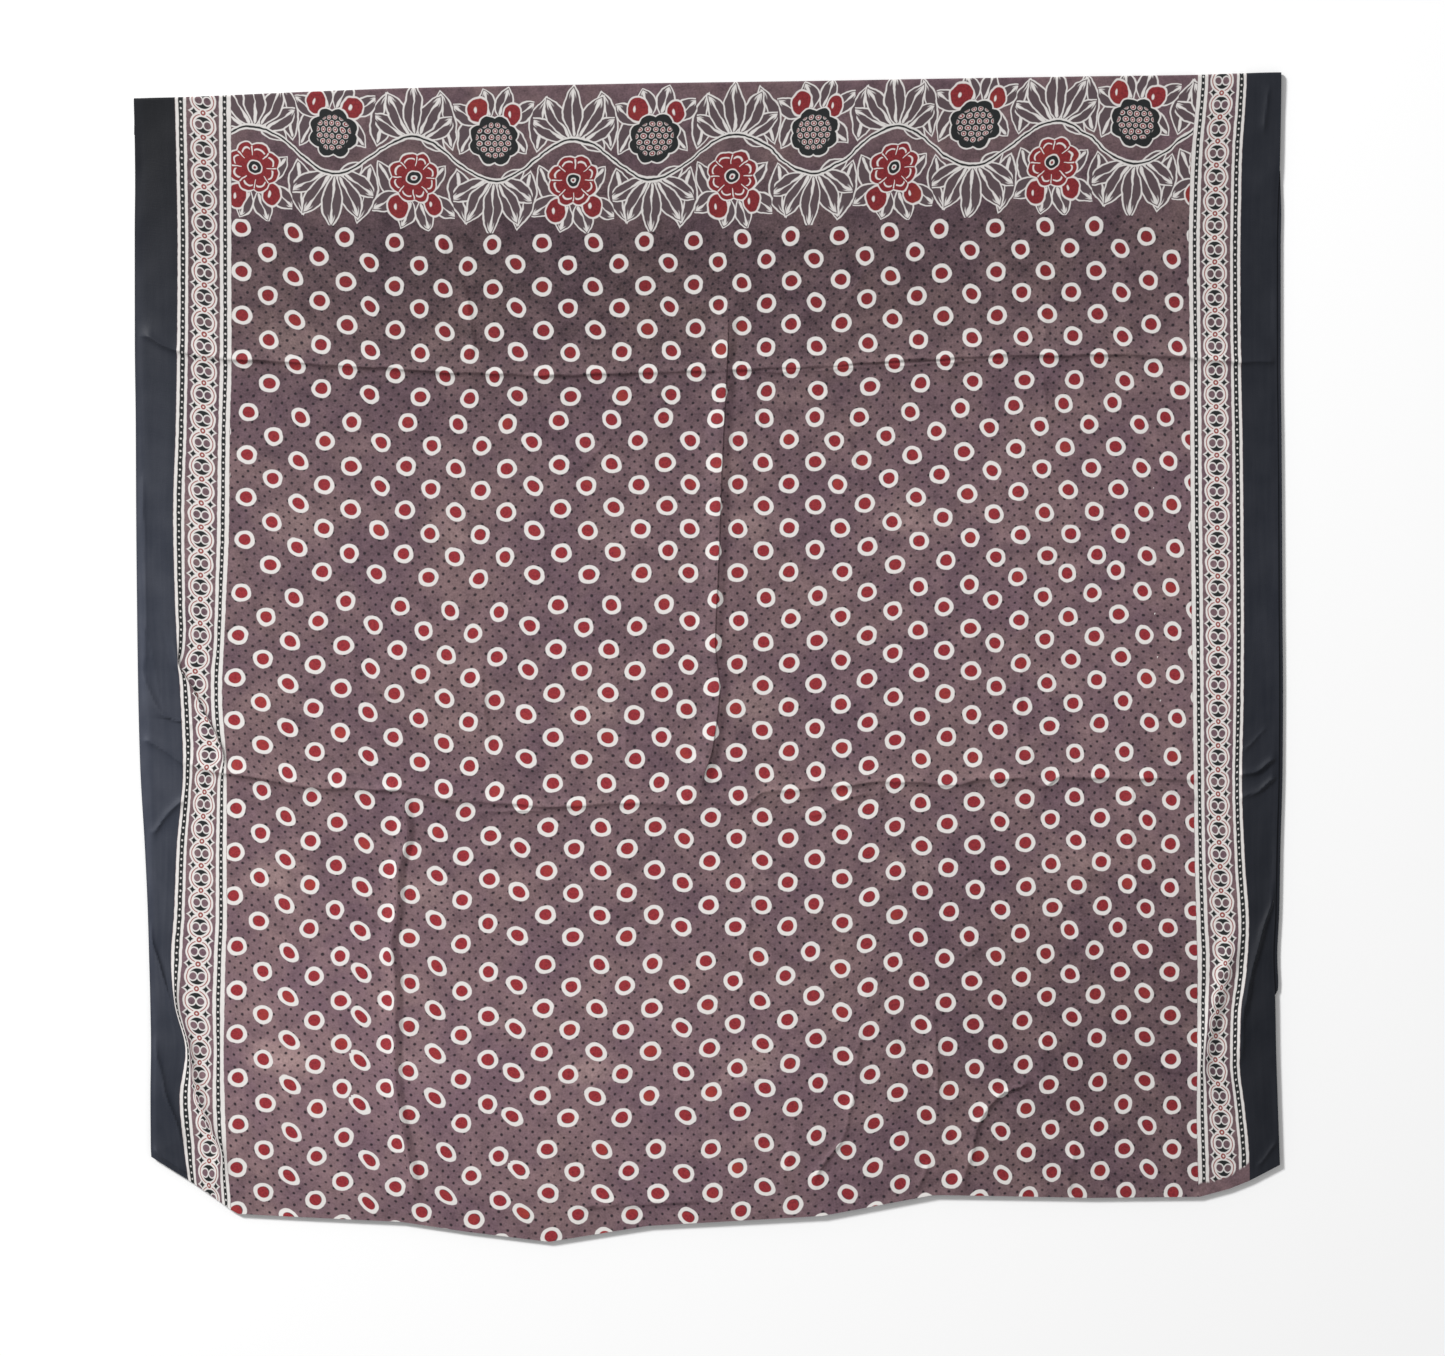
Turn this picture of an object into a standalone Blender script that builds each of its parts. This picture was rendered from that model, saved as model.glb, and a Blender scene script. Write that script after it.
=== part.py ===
"""A printed sari folded in layers and laid flat, with its end band turned over the top fold.

Sizes are in millimetres and are turned into metres where the meshes are made. X runs across the
cloth, Y runs up the sheet towards the top fold, and Z is up from the surface it lies on.
"""

import math
from collections import namedtuple
from functools import lru_cache

import bmesh
import bpy
import numpy as np
from mathutils import Vector

MM = 0.001
COLLECTION = "sari"

# The cloth and the way its layers lie on each other
CLOTH_WIDTH = 1148.0
WALL = 1.0
LAYER_GAP = 0.6
LAYER_PITCH = WALL + LAYER_GAP
SEAM_GAP = 0.3
FRONT_HEIGHT = 6.3

# Widths of the printed zones, from each selvage inwards
EDGE_BAND = 42.0
BORDER = 55.0

# How far down the cloth its main lines are: end of the pallu band, two storage creases
PALLU_END = 150.0
UPPER_CREASE = 290.0
LOWER_CREASE = 715.0

# The turn at the top fold, and the stretch of cloth that starts back under it
TURN_RADIUS = 2.4
UNDER_RUN = 34.0

# The lip of the second layer beyond the right edge: its width, where across the cloth the layer
# starts to shift, how far down it shows, and the run in which it slips back under
LIP = 5.0
LIP_START = 1000.0
LIP_END = 955.0
LIP_FADE = 20.0

# The edges settle towards the surface
EDGE_SETTLE = 1.6
EDGE_SETTLE_RUN = 44.0
FOLD_SETTLE = 0.7

# Folds die out towards the selvages and the top fold in these runs, and at their own ends in a
# share of their length
EDGE_CALM = 8.0
FOLD_CALM = 30.0
FOLD_FADE = 0.12

# How far the second layer stays inside the left edge, and ends short of the raw end
SECOND_SIDE = 6.0
SECOND_SHORT = 22.0

# Grid spacing of the walls, the finer lines beside a crease, and the rows of the turned cloth
GRID_STEP = 40.0
EDGE_STEP = 13.8
SECOND_STEP = 72.0
SECOND_EDGE = (0.0, 10.5, 21.0, 31.5, 42.0)
SECOND_LAST_ROWS = (0.96, 0.98, 1.0)
CREASES_ACROSS = (590.0, 270.0)
BESIDE_CREASE = (-19.0, -8.0, 0.0, 8.0, 19.0)
TURN_STEPS = 6
UNDER_ROWS = (-1.0, -0.7, -0.45)

# The last panel's usual length, and the step along the cloth that finds a normal
LAST_PANEL = 425.0
NORMAL_STEP = 0.5

# Lines that run down the cloth: their distance across it from the left edge, and how high on the
# sheet the top fold, the two storage creases and the raw end cross them
Line = namedtuple("Line", "across fold upper lower end")
LINES = (
    Line(0, 559.0, 314, -108, -500),
    Line(20, 559.5, 312, -109, -511),
    Line(42, 560.0, 307, -111, -523),
    Line(104, 562.5, 298, -115, -557),
    Line(160, 565.0, 294, -125, -560),
    Line(265, 569.0, 287, -138, -565),
    Line(330, 570.5, 284, -144, -575),
    Line(410, 572.0, 283, -145, -585),
    Line(508, 574.0, 285, -142, -569),
    Line(680, 576.5, 292, -134, -559),
    Line(790, 578.5, 298, -120, -538),
    Line(945, 581.0, 302, -118, -541),
    Line(1052, 582.5, 300, -123, -540),
    Line(1084, 583.5, 298, -128, -532),
    Line(1148, 585.0, 297, -109, -508),
)

# Sections across the cloth: their distance down it, and how far to the left or right of the middle
# of the sheet each edge, border and end of the field lies there
Section = namedtuple("Section", "down edge_l print_l field_l field_r print_r edge_r")
SECTIONS = (
    Section(0, -575.5, -534.5, -477.5, 489.5, 538.5, 568.0),
    Section(90, -574.0, -532.5, -477.0, 482.5, 533.5, 568.0),
    Section(180, -573.0, -531.0, -476.8, 480.0, 532.0, 568.5),
    Section(290, -572.0, -531.5, -476.5, 481.0, 532.5, 568.5),
    Section(370, -571.5, -532.9, -478.5, 481.5, 534.0, 569.3),
    Section(457, -571.0, -535.5, -479.0, 482.0, 535.0, 569.8),
    Section(547, -570.5, -533.5, -482.5, 483.0, 535.5, 570.2),
    Section(637, -567.5, -528.5, -486.0, 484.0, 535.0, 570.8),
    Section(715, -565.5, -525.5, -481.5, 485.0, 533.5, 569.5),
    Section(797, -562.5, -532.0, -481.5, 486.0, 536.5, 566.5),
    Section(860, -560.5, -534.5, -481.0, 487.5, 540.5, 565.0),
    Section(905, -559.5, -537.5, -482.5, 488.5, 538.0, 563.0),
    Section(950, -558.5, -533.5, -483.5, 488.5, 532.0, 567.0),
    Section(997, -557.8, -522.5, -484.5, 488.5, 531.2, 567.8),
    Section(1045, -558.3, -529.0, -483.5, 488.0, 536.5, 569.3),
    Section(1095, -558.0, -524.5, -481.5, 489.0, 541.0, 571.0),
    Section(1160, -553.0, -518.0, -477.5, 491.0, 542.0, 573.0),
)

# Folds raised in the front layer: the two ends of each, across and down the cloth, how far its
# middle bows sideways, its height, its half width, and how far its crest leans (steep side > 0)
Fold = namedtuple("Fold", "across0 down0 across1 down1 bow height width lean")
FOLDS = (
    Fold(8, 292, 110, 290, 0, 7.0, 9, 0.4),
    Fold(100, 290, 1060, 290, 0, 5.0, 9, 0.4),
    Fold(1045, 290, 1140, 291, 0, 4.5, 9, 0.4),
    Fold(20, 690, 100, 716, 0, 7.5, 11, 0.3),
    Fold(90, 714, 570, 716, 0, 4.0, 9, -0.3),
    Fold(740, 713, 1060, 715, 0, 5.5, 12, 0.3),
    Fold(1050, 724, 1135, 700, 0, 7.0, 12, 0.3),
    Fold(592, 130, 584, 640, 0, 6.5, 9, 0.5),
    Fold(584, 620, 568, 730, 0, 4.0, 12, 0.3),
    Fold(280, 725, 282, 1120, -15, 5.5, 9, 0.4),
    Fold(16, 560, 36, 880, -6, 6.0, 10, -0.4),
    Fold(64, 600, 76, 700, 0, 6.5, 14, 0.0),
    Fold(52, 940, 66, 1080, 10, 7.0, 14, 0.2),
    Fold(1094, 850, 1098, 1060, -8, 7.0, 13, 0.4),
    Fold(745, 930, 690, 1125, 12, 6.0, 16, 0.4),
    Fold(905, 1000, 828, 1125, -10, 6.0, 14, 0.4),
)

# Broad swells that all the layers share: the middle of each across and down the cloth, how far it
# reaches along and across it, and its height
Swell = namedtuple("Swell", "across down reach_across reach_down height")
SWELLS = (
    Swell(330, 180, 260, 130, 1.6),
    Swell(860, 470, 220, 180, 1.8),
    Swell(240, 520, 170, 160, 1.4),
    Swell(690, 940, 210, 190, 3.2),
    Swell(180, 900, 120, 170, 1.6),
    Swell(1010, 860, 120, 140, 1.5),
)

# The hidden layers: how far they stay inside the front layer, their grid, and their lips, with the
# share of a lip's depth and of its reach at each turn of its outline
INNER_SIDE = 15.0
INNER_TOP = 32.0
INNER_END = 40.0
INNER_STEPS = 14
NEAR_EDGE = 0.499
LIPS = 3
LIP_REACH = 1.6
LIP_WIDENING = 0.5
LIP_OUTLINE = ((0.2, 1.0), (0.75, 1.0), (1.0, 0.25))

# The middle of the whole, taken off every point
MIDDLE = (0.47, 0.66)

# Colours, and how dull the cloth is
MAUVE = (0.17, 0.115, 0.13)
RED_BROWN = (0.24, 0.10, 0.105)
CREAM_GREY = (0.40, 0.36, 0.35)
NAVY = (0.045, 0.05, 0.066)
CLOTH_ROUGHNESS = 0.62


def clear_scene():
    """Remove what the opened file holds."""
    for thing in list(bpy.data.objects):
        bpy.data.objects.remove(thing)


def ease(t):
    """A soft step from 0 to 1."""
    t = min(max(t, 0.0), 1.0)
    return t * t * (3 - 2 * t)


def columns_of(table):
    """The named columns of a table, as arrays."""
    return {name: np.array([getattr(row, name) for row in table], dtype=float)
            for name in table[0]._fields}


def smooth(places, values, at):
    """Read a smooth curve through the values, with no overshoot between them."""
    steps = np.diff(places)
    slopes = np.diff(values) / steps
    tangents = np.zeros(len(places))
    for i in range(1, len(places) - 1):
        before, after = slopes[i - 1], slopes[i]
        if before * after > 0:
            tangents[i] = 2 * before * after / (before + after)
    at = min(max(at, places[0]), places[-1])
    i = min(int(np.searchsorted(places, at, side="right")) - 1, len(steps) - 1)
    t = (at - places[i]) / steps[i]
    start = (1 + 2 * t) * (1 - t) ** 2 * values[i] + t * (1 - t) ** 2 * steps[i] * tangents[i]
    end = t * t * (3 - 2 * t) * values[i + 1] - t * t * (1 - t) * steps[i] * tangents[i + 1]
    return float(start + end)


LINE = columns_of(LINES)
SECTION = columns_of(SECTIONS)
ZONES = (0.0, EDGE_BAND, EDGE_BAND + BORDER,
         CLOTH_WIDTH - EDGE_BAND - BORDER, CLOTH_WIDTH - EDGE_BAND, CLOTH_WIDTH)


@lru_cache(maxsize=None)
def heights(across):
    """How high on the sheet the fold, both creases and the raw end are, at one place across."""
    fold, upper, lower = (smooth(LINE["across"], LINE[name], across) for name in ("fold", "upper", "lower"))
    end = float(np.interp(across, LINE["across"], LINE["end"]))
    return fold - TURN_RADIUS, upper, lower, end


@lru_cache(maxsize=None)
def marks(across):
    """How far down the cloth the fold, pallu end, both creases and raw end are, at one place."""
    fold, upper, lower, end = heights(across)
    return (UPPER_CREASE - fold + upper, PALLU_END, UPPER_CREASE, LOWER_CREASE,
            LOWER_CREASE + lower - end)


@lru_cache(maxsize=None)
def section_at(down):
    """How far to the left or right each edge, border and end of the field lies."""
    return tuple(smooth(SECTION["down"], SECTION[name], down) for name in Section._fields[1:])


def place(across, down):
    """Where a point of the flat cloth lies on the sheet."""
    fold, _, upper, lower, end = marks(across)
    y = float(np.interp(down, (fold, upper, lower, end), heights(across)))
    x = float(np.interp(across, ZONES, section_at(down)))
    return x, y


def fold_rise(fold, across, down):
    """Height of one fold at a point of the cloth."""
    along = np.array((fold.across1 - fold.across0, fold.down1 - fold.down0), dtype=float)
    length = float(np.linalg.norm(along))
    along /= length
    offset = np.array((across - fold.across0, down - fold.down0))
    t = float(offset @ along) / length
    side = float(offset[1] * along[0] - offset[0] * along[1]) - fold.bow * 4 * t * (1 - t)
    reach = fold.width * (1 - fold.lean if side > 0 else 1 + fold.lean)
    ends = ease((t + FOLD_FADE / 2) / FOLD_FADE) * ease((1 + FOLD_FADE / 2 - t) / FOLD_FADE)
    return fold.height * ends * math.exp(-(side / reach) ** 2)


def folds_rise(across, down):
    """Height of all the folds together, where crossing folds merge and don't pile up."""
    return sum(fold_rise(fold, across, down) ** 3 for fold in FOLDS) ** (1 / 3)


def settled(across, down):
    """Height of the middle of the front layer without its own folds."""
    fold, *_, end = marks(across)
    height = FRONT_HEIGHT
    for swell in SWELLS:
        u = (across - swell.across) / swell.reach_across
        v = (down - swell.down) / swell.reach_down
        height += swell.height * math.exp(-u * u - v * v)
    from_fold = ease((down - fold) / EDGE_SETTLE_RUN)
    from_edge = ease(min(across, CLOTH_WIDTH - across, end - down) / EDGE_SETTLE_RUN)
    return height - FOLD_SETTLE * (1 - from_fold) - EDGE_SETTLE * (1 - from_edge) * from_fold


def front_point(across, row):
    """A point of the front layer. Rows below 0 go round the top fold and back under it.

    Row 0 is the fold, 1 the pallu's end, 2 and 3 the storage creases and 4 the raw end.
    """
    fold, *_, end = marks(across)
    down = float(np.interp(row, range(5), marks(across)))
    x, y = place(across, down)
    inside = min(across, CLOTH_WIDTH - across, end - down)
    z = settled(across, down)
    z += ease(inside / EDGE_CALM) * ease((down - fold) / FOLD_CALM) * folds_rise(across, down)
    arc_length = math.pi * TURN_RADIUS
    run = max(-row, 0.0) * (arc_length + UNDER_RUN)
    angle = min(run, arc_length) / TURN_RADIUS
    back = max(run - arc_length, 0.0)
    y += TURN_RADIUS * math.sin(angle) - back
    z -= TURN_RADIUS * (1 - math.cos(angle))
    under = settled(across, down + back) - LAYER_PITCH
    return x, y, z + (under - z) * ease(back / UNDER_RUN)


def second_point(across, share):
    """A point of the second layer, a share of the way down from where the turned cloth ends."""
    fold, *_, end = marks(across)
    start = fold + UNDER_RUN + SEAM_GAP
    down = start + (end - SECOND_SHORT - start) * share
    x, y = place(across, down)
    shows = ease((LIP_END - down) / LIP_FADE)
    x += LIP * (2 * shows - 1) * ease((across - LIP_START) / (CLOTH_WIDTH - LIP_START))
    return x, y, settled(across, down) - LAYER_PITCH


def stations(start, end, step, creases=()):
    """Evenly spread stations from start to end, with finer ones beside each crease."""
    count = max(1, round((end - start) / step))
    places = {start + (end - start) * i / count for i in range(1, count)}
    for crease in creases:
        beside = {crease + offset for offset in BESIDE_CREASE}
        places = {p for p in places if all(abs(p - b) > step / 3 for b in beside)} | beside
    return sorted({start, end} | {p for p in places if start < p < end})


def stretch_rows(first, last):
    """Rows of a wall between two marks, finer beside the storage creases and round the top fold."""
    rows = set()
    if first < 0:
        turn = math.pi * TURN_RADIUS / (math.pi * TURN_RADIUS + UNDER_RUN)
        rows |= set(UNDER_ROWS) | {-turn * (i + 1) / TURN_STEPS for i in range(TURN_STEPS)}
    lengths = (PALLU_END, UPPER_CREASE - PALLU_END, LOWER_CREASE - UPPER_CREASE, LAST_PANEL)
    creases = ((), (lengths[1],), (0.0, lengths[2]), (0.0,))
    for panel in range(max(first, 0), last):
        places = stations(0.0, lengths[panel], GRID_STEP, creases[panel])
        rows |= {panel + place_down / lengths[panel] for place_down in places}
    return sorted(rows)


def to_metres(point):
    """A point in the part's own frame."""
    return ((point[0] - MIDDLE[0]) * MM, (point[1] - MIDDLE[1]) * MM, point[2] * MM)


def new_object(name, bm, colour):
    """An object of the sari's collection, with its own cloth material."""
    mesh = bpy.data.meshes.new(name)
    bmesh.ops.recalc_face_normals(bm, faces=bm.faces)
    bm.to_mesh(mesh)
    bm.free()
    material = bpy.data.materials.new(name)
    material.use_nodes = True
    shader = material.node_tree.nodes["Principled BSDF"]
    shader.inputs["Base Color"].default_value = (*colour, 1.0)
    shader.inputs["Roughness"].default_value = CLOTH_ROUGHNESS
    mesh.materials.append(material)
    mesh.shade_smooth()
    thing = bpy.data.objects.new(name, mesh)
    bpy.data.collections[COLLECTION].objects.link(thing)
    return thing


def wall_points(point, across, row):
    """The two points of a wall, half its thickness under and over its layer's surface."""
    row_step = NORMAL_STEP / UPPER_CREASE
    here = np.array(point(across, row))
    along = np.array(point(across + NORMAL_STEP, row)) - point(across - NORMAL_STEP, row)
    up = np.array(point(across, row - row_step)) - point(across, row + row_step)
    normal = np.cross(along, up)
    normal *= WALL / 2 / np.linalg.norm(normal)
    return to_metres(here - normal), to_metres(here + normal)


def cloth_wall(name, point, across, rows, colour):
    """A wall of cloth: a grid bent to the layer's surface, extruded along the surface's normals.

    The normals come from the surface itself, so they agree on both sides of a seam.
    """
    bm = bmesh.new()
    bmesh.ops.create_grid(bm, x_segments=len(across) - 1, y_segments=len(rows) - 1, size=0.5)
    number = bm.verts.layers.int.new("number")
    under_over = []
    for vert in bm.verts:
        vert[number] = len(under_over)
        i = round((vert.co.x + 0.5) * (len(across) - 1))
        j = round((vert.co.y + 0.5) * (len(rows) - 1))
        under_over.append(wall_points(point, across[i], rows[j]))
        vert.co = under_over[-1][0]
    grown = bmesh.ops.extrude_face_region(bm, geom=list(bm.faces), use_keep_orig=True)
    for vert in grown["geom"]:
        if isinstance(vert, bmesh.types.BMVert):
            vert.co = under_over[vert[number]][1]
    bm.verts.layers.int.remove(number)
    return new_object(name, bm, colour)


def front_layer():
    """The front layer, one wall for each printed stretch."""
    left_print, left_field, right_field, right_print = ZONES[1:5]
    Stretch = namedtuple("Stretch", "name start end first last colour")
    stretches = (
        Stretch("edge_band_left", 0.0, left_print, -1, 4, NAVY),
        Stretch("border_left", left_print, left_field, -1, 4, CREAM_GREY),
        Stretch("pallu_band", left_field, right_field, -1, 1, RED_BROWN),
        Stretch("field", left_field, right_field, 1, 4, MAUVE),
        Stretch("border_right", right_field, right_print, -1, 4, CREAM_GREY),
        Stretch("edge_band_right", right_print, CLOTH_WIDTH, -1, 4, NAVY),
    )
    half = SEAM_GAP / 2
    for stretch in stretches:
        start = stretch.start + (half if stretch.start > 0 else 0.0)
        end = stretch.end - (half if stretch.end < CLOTH_WIDTH else 0.0)
        if end - start > BORDER:
            across = stations(start, end, GRID_STEP, CREASES_ACROSS)
        else:
            across = stations(start, end, EDGE_STEP)
        rows = stretch_rows(stretch.first, stretch.last)
        if stretch.first == 1:
            rows[0] += half / (UPPER_CREASE - PALLU_END)
        if stretch.last == 1:
            rows[-1] -= half / PALLU_END
        cloth_wall(stretch.name, front_point, across, rows, stretch.colour)


def second_layer():
    """The layer under the front one, which shows beyond it at the right edge."""
    inner = stations(SECOND_EDGE[-1], CLOTH_WIDTH - SECOND_EDGE[-1], SECOND_STEP)
    across = {SECOND_SIDE} | {a for a in SECOND_EDGE if a > SECOND_SIDE} | set(inner)
    across |= {CLOTH_WIDTH - a for a in SECOND_EDGE}
    rows = stations(0.0, 1.0, SECOND_STEP / SECTIONS[-1].down)
    rows[-1:] = SECOND_LAST_ROWS
    cloth_wall("second_layer", second_point, sorted(across), rows, NAVY)


def inner_top(across_share, down_share):
    """A point of the top of the hidden layers."""
    across = INNER_SIDE + (CLOTH_WIDTH - 2 * INNER_SIDE) * across_share
    fold, *_, end = marks(across)
    down = fold + INNER_TOP + (end - INNER_END - fold - INNER_TOP) * down_share
    x, y = place(across, down)
    return to_metres((x, y, settled(across, down) - 2 * LAYER_PITCH + WALL / 2))


def edge_side(place):
    """-1 at a grid's low edge, 1 at its high edge and 0 between them."""
    return math.copysign(1.0, place) if abs(place) > NEAR_EDGE else 0.0


def inner_layers():
    """The hidden layers as one rounded solid, with a lip for each layer round its edge."""
    bm = bmesh.new()
    bmesh.ops.create_grid(bm, x_segments=INNER_STEPS, y_segments=INNER_STEPS, size=0.5)
    number = bm.verts.layers.int.new("number")
    rim = []
    for vert in bm.verts:
        vert[number] = len(rim)
        out = Vector((edge_side(vert.co.x), -edge_side(vert.co.y), 0.0))
        vert.co = inner_top(vert.co.x + 0.5, vert.co.y + 0.5)
        rim.append((vert.co.copy(), out * LIP_REACH * MM))
    edges = [edge for edge in bm.edges if edge.is_boundary]
    for lip in range(LIPS):
        reach = 1 + LIP_WIDENING * lip
        for depth, share in LIP_OUTLINE:
            grown = bmesh.ops.extrude_edge_only(bm, edges=edges)["geom"]
            edges = [part for part in grown if isinstance(part, bmesh.types.BMEdge)]
            for vert in grown:
                if isinstance(vert, bmesh.types.BMVert):
                    top, out = rim[vert[number]]
                    vert.co = top + out * reach * share
                    vert.co.z = top.z * (1 - (lip + depth) / LIPS)
    bmesh.ops.contextual_create(bm, geom=edges)
    bm.verts.layers.int.remove(number)
    new_object("inner_layers", bm, MAUVE)


def main():
    clear_scene()
    collection = bpy.data.collections.new(COLLECTION)
    bpy.context.scene.collection.children.link(collection)
    front_layer()
    second_layer()
    inner_layers()


main()
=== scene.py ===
import math
from collections import namedtuple

import bpy
import numpy as np
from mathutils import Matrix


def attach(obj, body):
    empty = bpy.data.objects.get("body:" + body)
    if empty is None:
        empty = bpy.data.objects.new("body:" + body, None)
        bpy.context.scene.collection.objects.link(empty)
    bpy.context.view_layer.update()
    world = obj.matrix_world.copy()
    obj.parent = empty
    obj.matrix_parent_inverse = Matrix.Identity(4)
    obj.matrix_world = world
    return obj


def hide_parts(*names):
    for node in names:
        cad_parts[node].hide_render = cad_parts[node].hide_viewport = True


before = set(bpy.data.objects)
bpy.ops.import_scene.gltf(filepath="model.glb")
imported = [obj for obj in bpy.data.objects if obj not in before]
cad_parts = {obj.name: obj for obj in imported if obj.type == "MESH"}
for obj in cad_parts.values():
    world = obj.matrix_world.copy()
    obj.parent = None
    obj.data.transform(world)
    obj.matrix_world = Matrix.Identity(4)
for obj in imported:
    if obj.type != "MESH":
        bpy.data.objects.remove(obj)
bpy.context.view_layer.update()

# A printed sari, folded and laid flat. Lengths are millimetres across and down the cloth
MM = 0.001
SEED = 11

# The photograph's frame, whose pixels are one millimetre wide on the cloth, and the camera's height
FRAME_WIDTH = 1445
CAMERA_MIDDLE = (13.53, -21.66)
CAMERA_HEIGHT = 3600.0
SENSOR = 36.0

# The room: how far the floor reaches, its white, the light all round and the key light
FLOOR_REACH = 6.0
FLOOR_WHITE = (0.93, 0.93, 0.93)
FLOOR_ROUGHNESS = 0.9
WORLD_LIGHT = 0.44
KEY_SIZE = 1.6
KEY_POWER = 935.0
KEY_PLACE = (-5.4, 5.0, 5.4)

# The cloth, its layers and its printed zones, as in the frame's solids
CLOTH_WIDTH = 1148.0
THREAD_WALL = 0.5
LAYER_PITCH = 1.6
FRONT_HEIGHT = 6.3
EDGE_BAND = 42.0
BORDER = 55.0
PALLU_END = 150.0
UPPER_CREASE = 290.0
LOWER_CREASE = 715.0
LAST_PANEL = 425.0
TURN_RADIUS = 2.4
UNDER_RUN = 34.0
TURN_LENGTH = math.pi * TURN_RADIUS
UNDER_LENGTH = TURN_LENGTH + UNDER_RUN

# The second layer: the lip that shows at the right edge, its sides, its grid and its place in the print
LIP = 4.2
LIP_START = 1000.0
LIP_END = 955.0
LIP_FADE = 20.0
LIP_TOP = (40.0, 150.0)
SECOND_SIDE = 6.0
SECOND_SHORT = 22.0
SECOND_GAP = 0.3
SECOND_STEPS = (10.0, 9.0)
SECOND_LENGTH = 1050.0
SECOND_FLAT = (1.142, 1.05)
SECOND_PRINT = (170.0, 1000.0)

# The hidden layers: how far inside the front one they stay, their turns, grid and place in the print
HIDDEN_LAYERS = 3
HIDDEN_SIDE = 15.0
HIDDEN_TOP = 32.0
HIDDEN_END = 40.0
HIDDEN_LIFT = 0.2
HIDDEN_FLAT_SHARE = 0.97
HIDDEN_TURN_SHARE = 0.03
HIDDEN_STEP = 14.0
HIDDEN_ROWS = 76
HIDDEN_TURN_STEPS = 6
HIDDEN_FLAT = (1.118, 3.12)
HIDDEN_PRINT = (200.0, 1050.0)

# How far down the cloth the front layer's sheets reach, from the top fold to the raw end
FOLD_DOWN = 18.0
CLOTH_DOWN = 1132.0

# How much lower the cloth lies at its edges and at the top fold, and how soon its creases set in
EDGE_SETTLE = 1.6
EDGE_SETTLE_RUN = 44.0
FOLD_SETTLE = 0.7
EDGE_CALM = 8.0
FOLD_CALM = 30.0

# Where the part's own origin lies on the sheet
MIDDLE = (0.47, 0.66)

# Places across the cloth, and how high on the sheet the fold, two storage creases and raw end are there
Line = namedtuple("Line", "across fold upper lower end")
LINES = (
    (0, 559, 314, -108, -500),
    (20, 559.5, 312, -109, -511),
    (42, 560, 307, -111, -523),
    (104, 562.5, 298, -115, -557),
    (160, 565, 294, -125, -560),
    (265, 569, 287, -138, -565),
    (330, 570.5, 284, -144, -575),
    (410, 572, 283, -145, -585),
    (508, 574, 285, -142, -569),
    (680, 576.5, 292, -134, -559),
    (790, 578.5, 298, -120, -538),
    (945, 581, 302, -118, -541),
    (1052, 582.5, 300, -123, -540),
    (1084, 583.5, 298, -128, -532),
    (1148, 585, 297, -109, -508),
)

# Places down the cloth, and where on the sheet its edges, prints and field end there, left to right
Section = namedtuple("Section", "down edge_l print_l field_l field_r print_r edge_r")
SECTIONS = (
    (0, -575.5, -534.5, -477.5, 489.5, 538.5, 573),
    (90, -574, -532.5, -477, 482.5, 533.5, 571.8),
    (130, -573.6, -531.7, -476.9, 481, 532.7, 569.5),
    (180, -574, -531, -476.8, 480, 532, 568.5),
    (290, -573.9, -531.5, -476.5, 481, 532.5, 568.5),
    (370, -573, -532.9, -478.5, 481.5, 534, 569.3),
    (457, -572.6, -535.5, -479, 482, 535, 569.8),
    (547, -571.8, -533.5, -482.5, 483, 535.5, 570.2),
    (637, -570.6, -528.5, -486, 484, 535, 570.8),
    (715, -568.6, -525.5, -481.5, 485, 533.5, 570.4),
    (797, -563.9, -532, -481.5, 486, 536.5, 568.2),
    (860, -561, -534.5, -481, 487.5, 540.5, 567),
    (905, -559.7, -537.5, -482.5, 488.5, 538, 565),
    (950, -558.5, -533.5, -483.5, 488.5, 532, 567),
    (997, -557.8, -522.5, -484.5, 488.5, 531.2, 567.8),
    (1045, -558.3, -529, -483.5, 488, 536.5, 569.3),
    (1095, -558, -524.5, -481.5, 489, 541, 571),
    (1160, -553, -518, -477.5, 491, 542, 573),
)

# Broad swells of all layers: places across and down, reaches across and down, and height
Swell = namedtuple("Swell", "across down reach_across reach_down height")
SWELLS = (
    (330, 180, 260, 130, 1.6),
    (860, 470, 220, 180, 1.8),
    (240, 520, 170, 160, 1.4),
    (690, 940, 210, 190, 3.2),
    (180, 900, 120, 170, 1.6),
    (1010, 860, 120, 140, 1.5),
)

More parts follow.
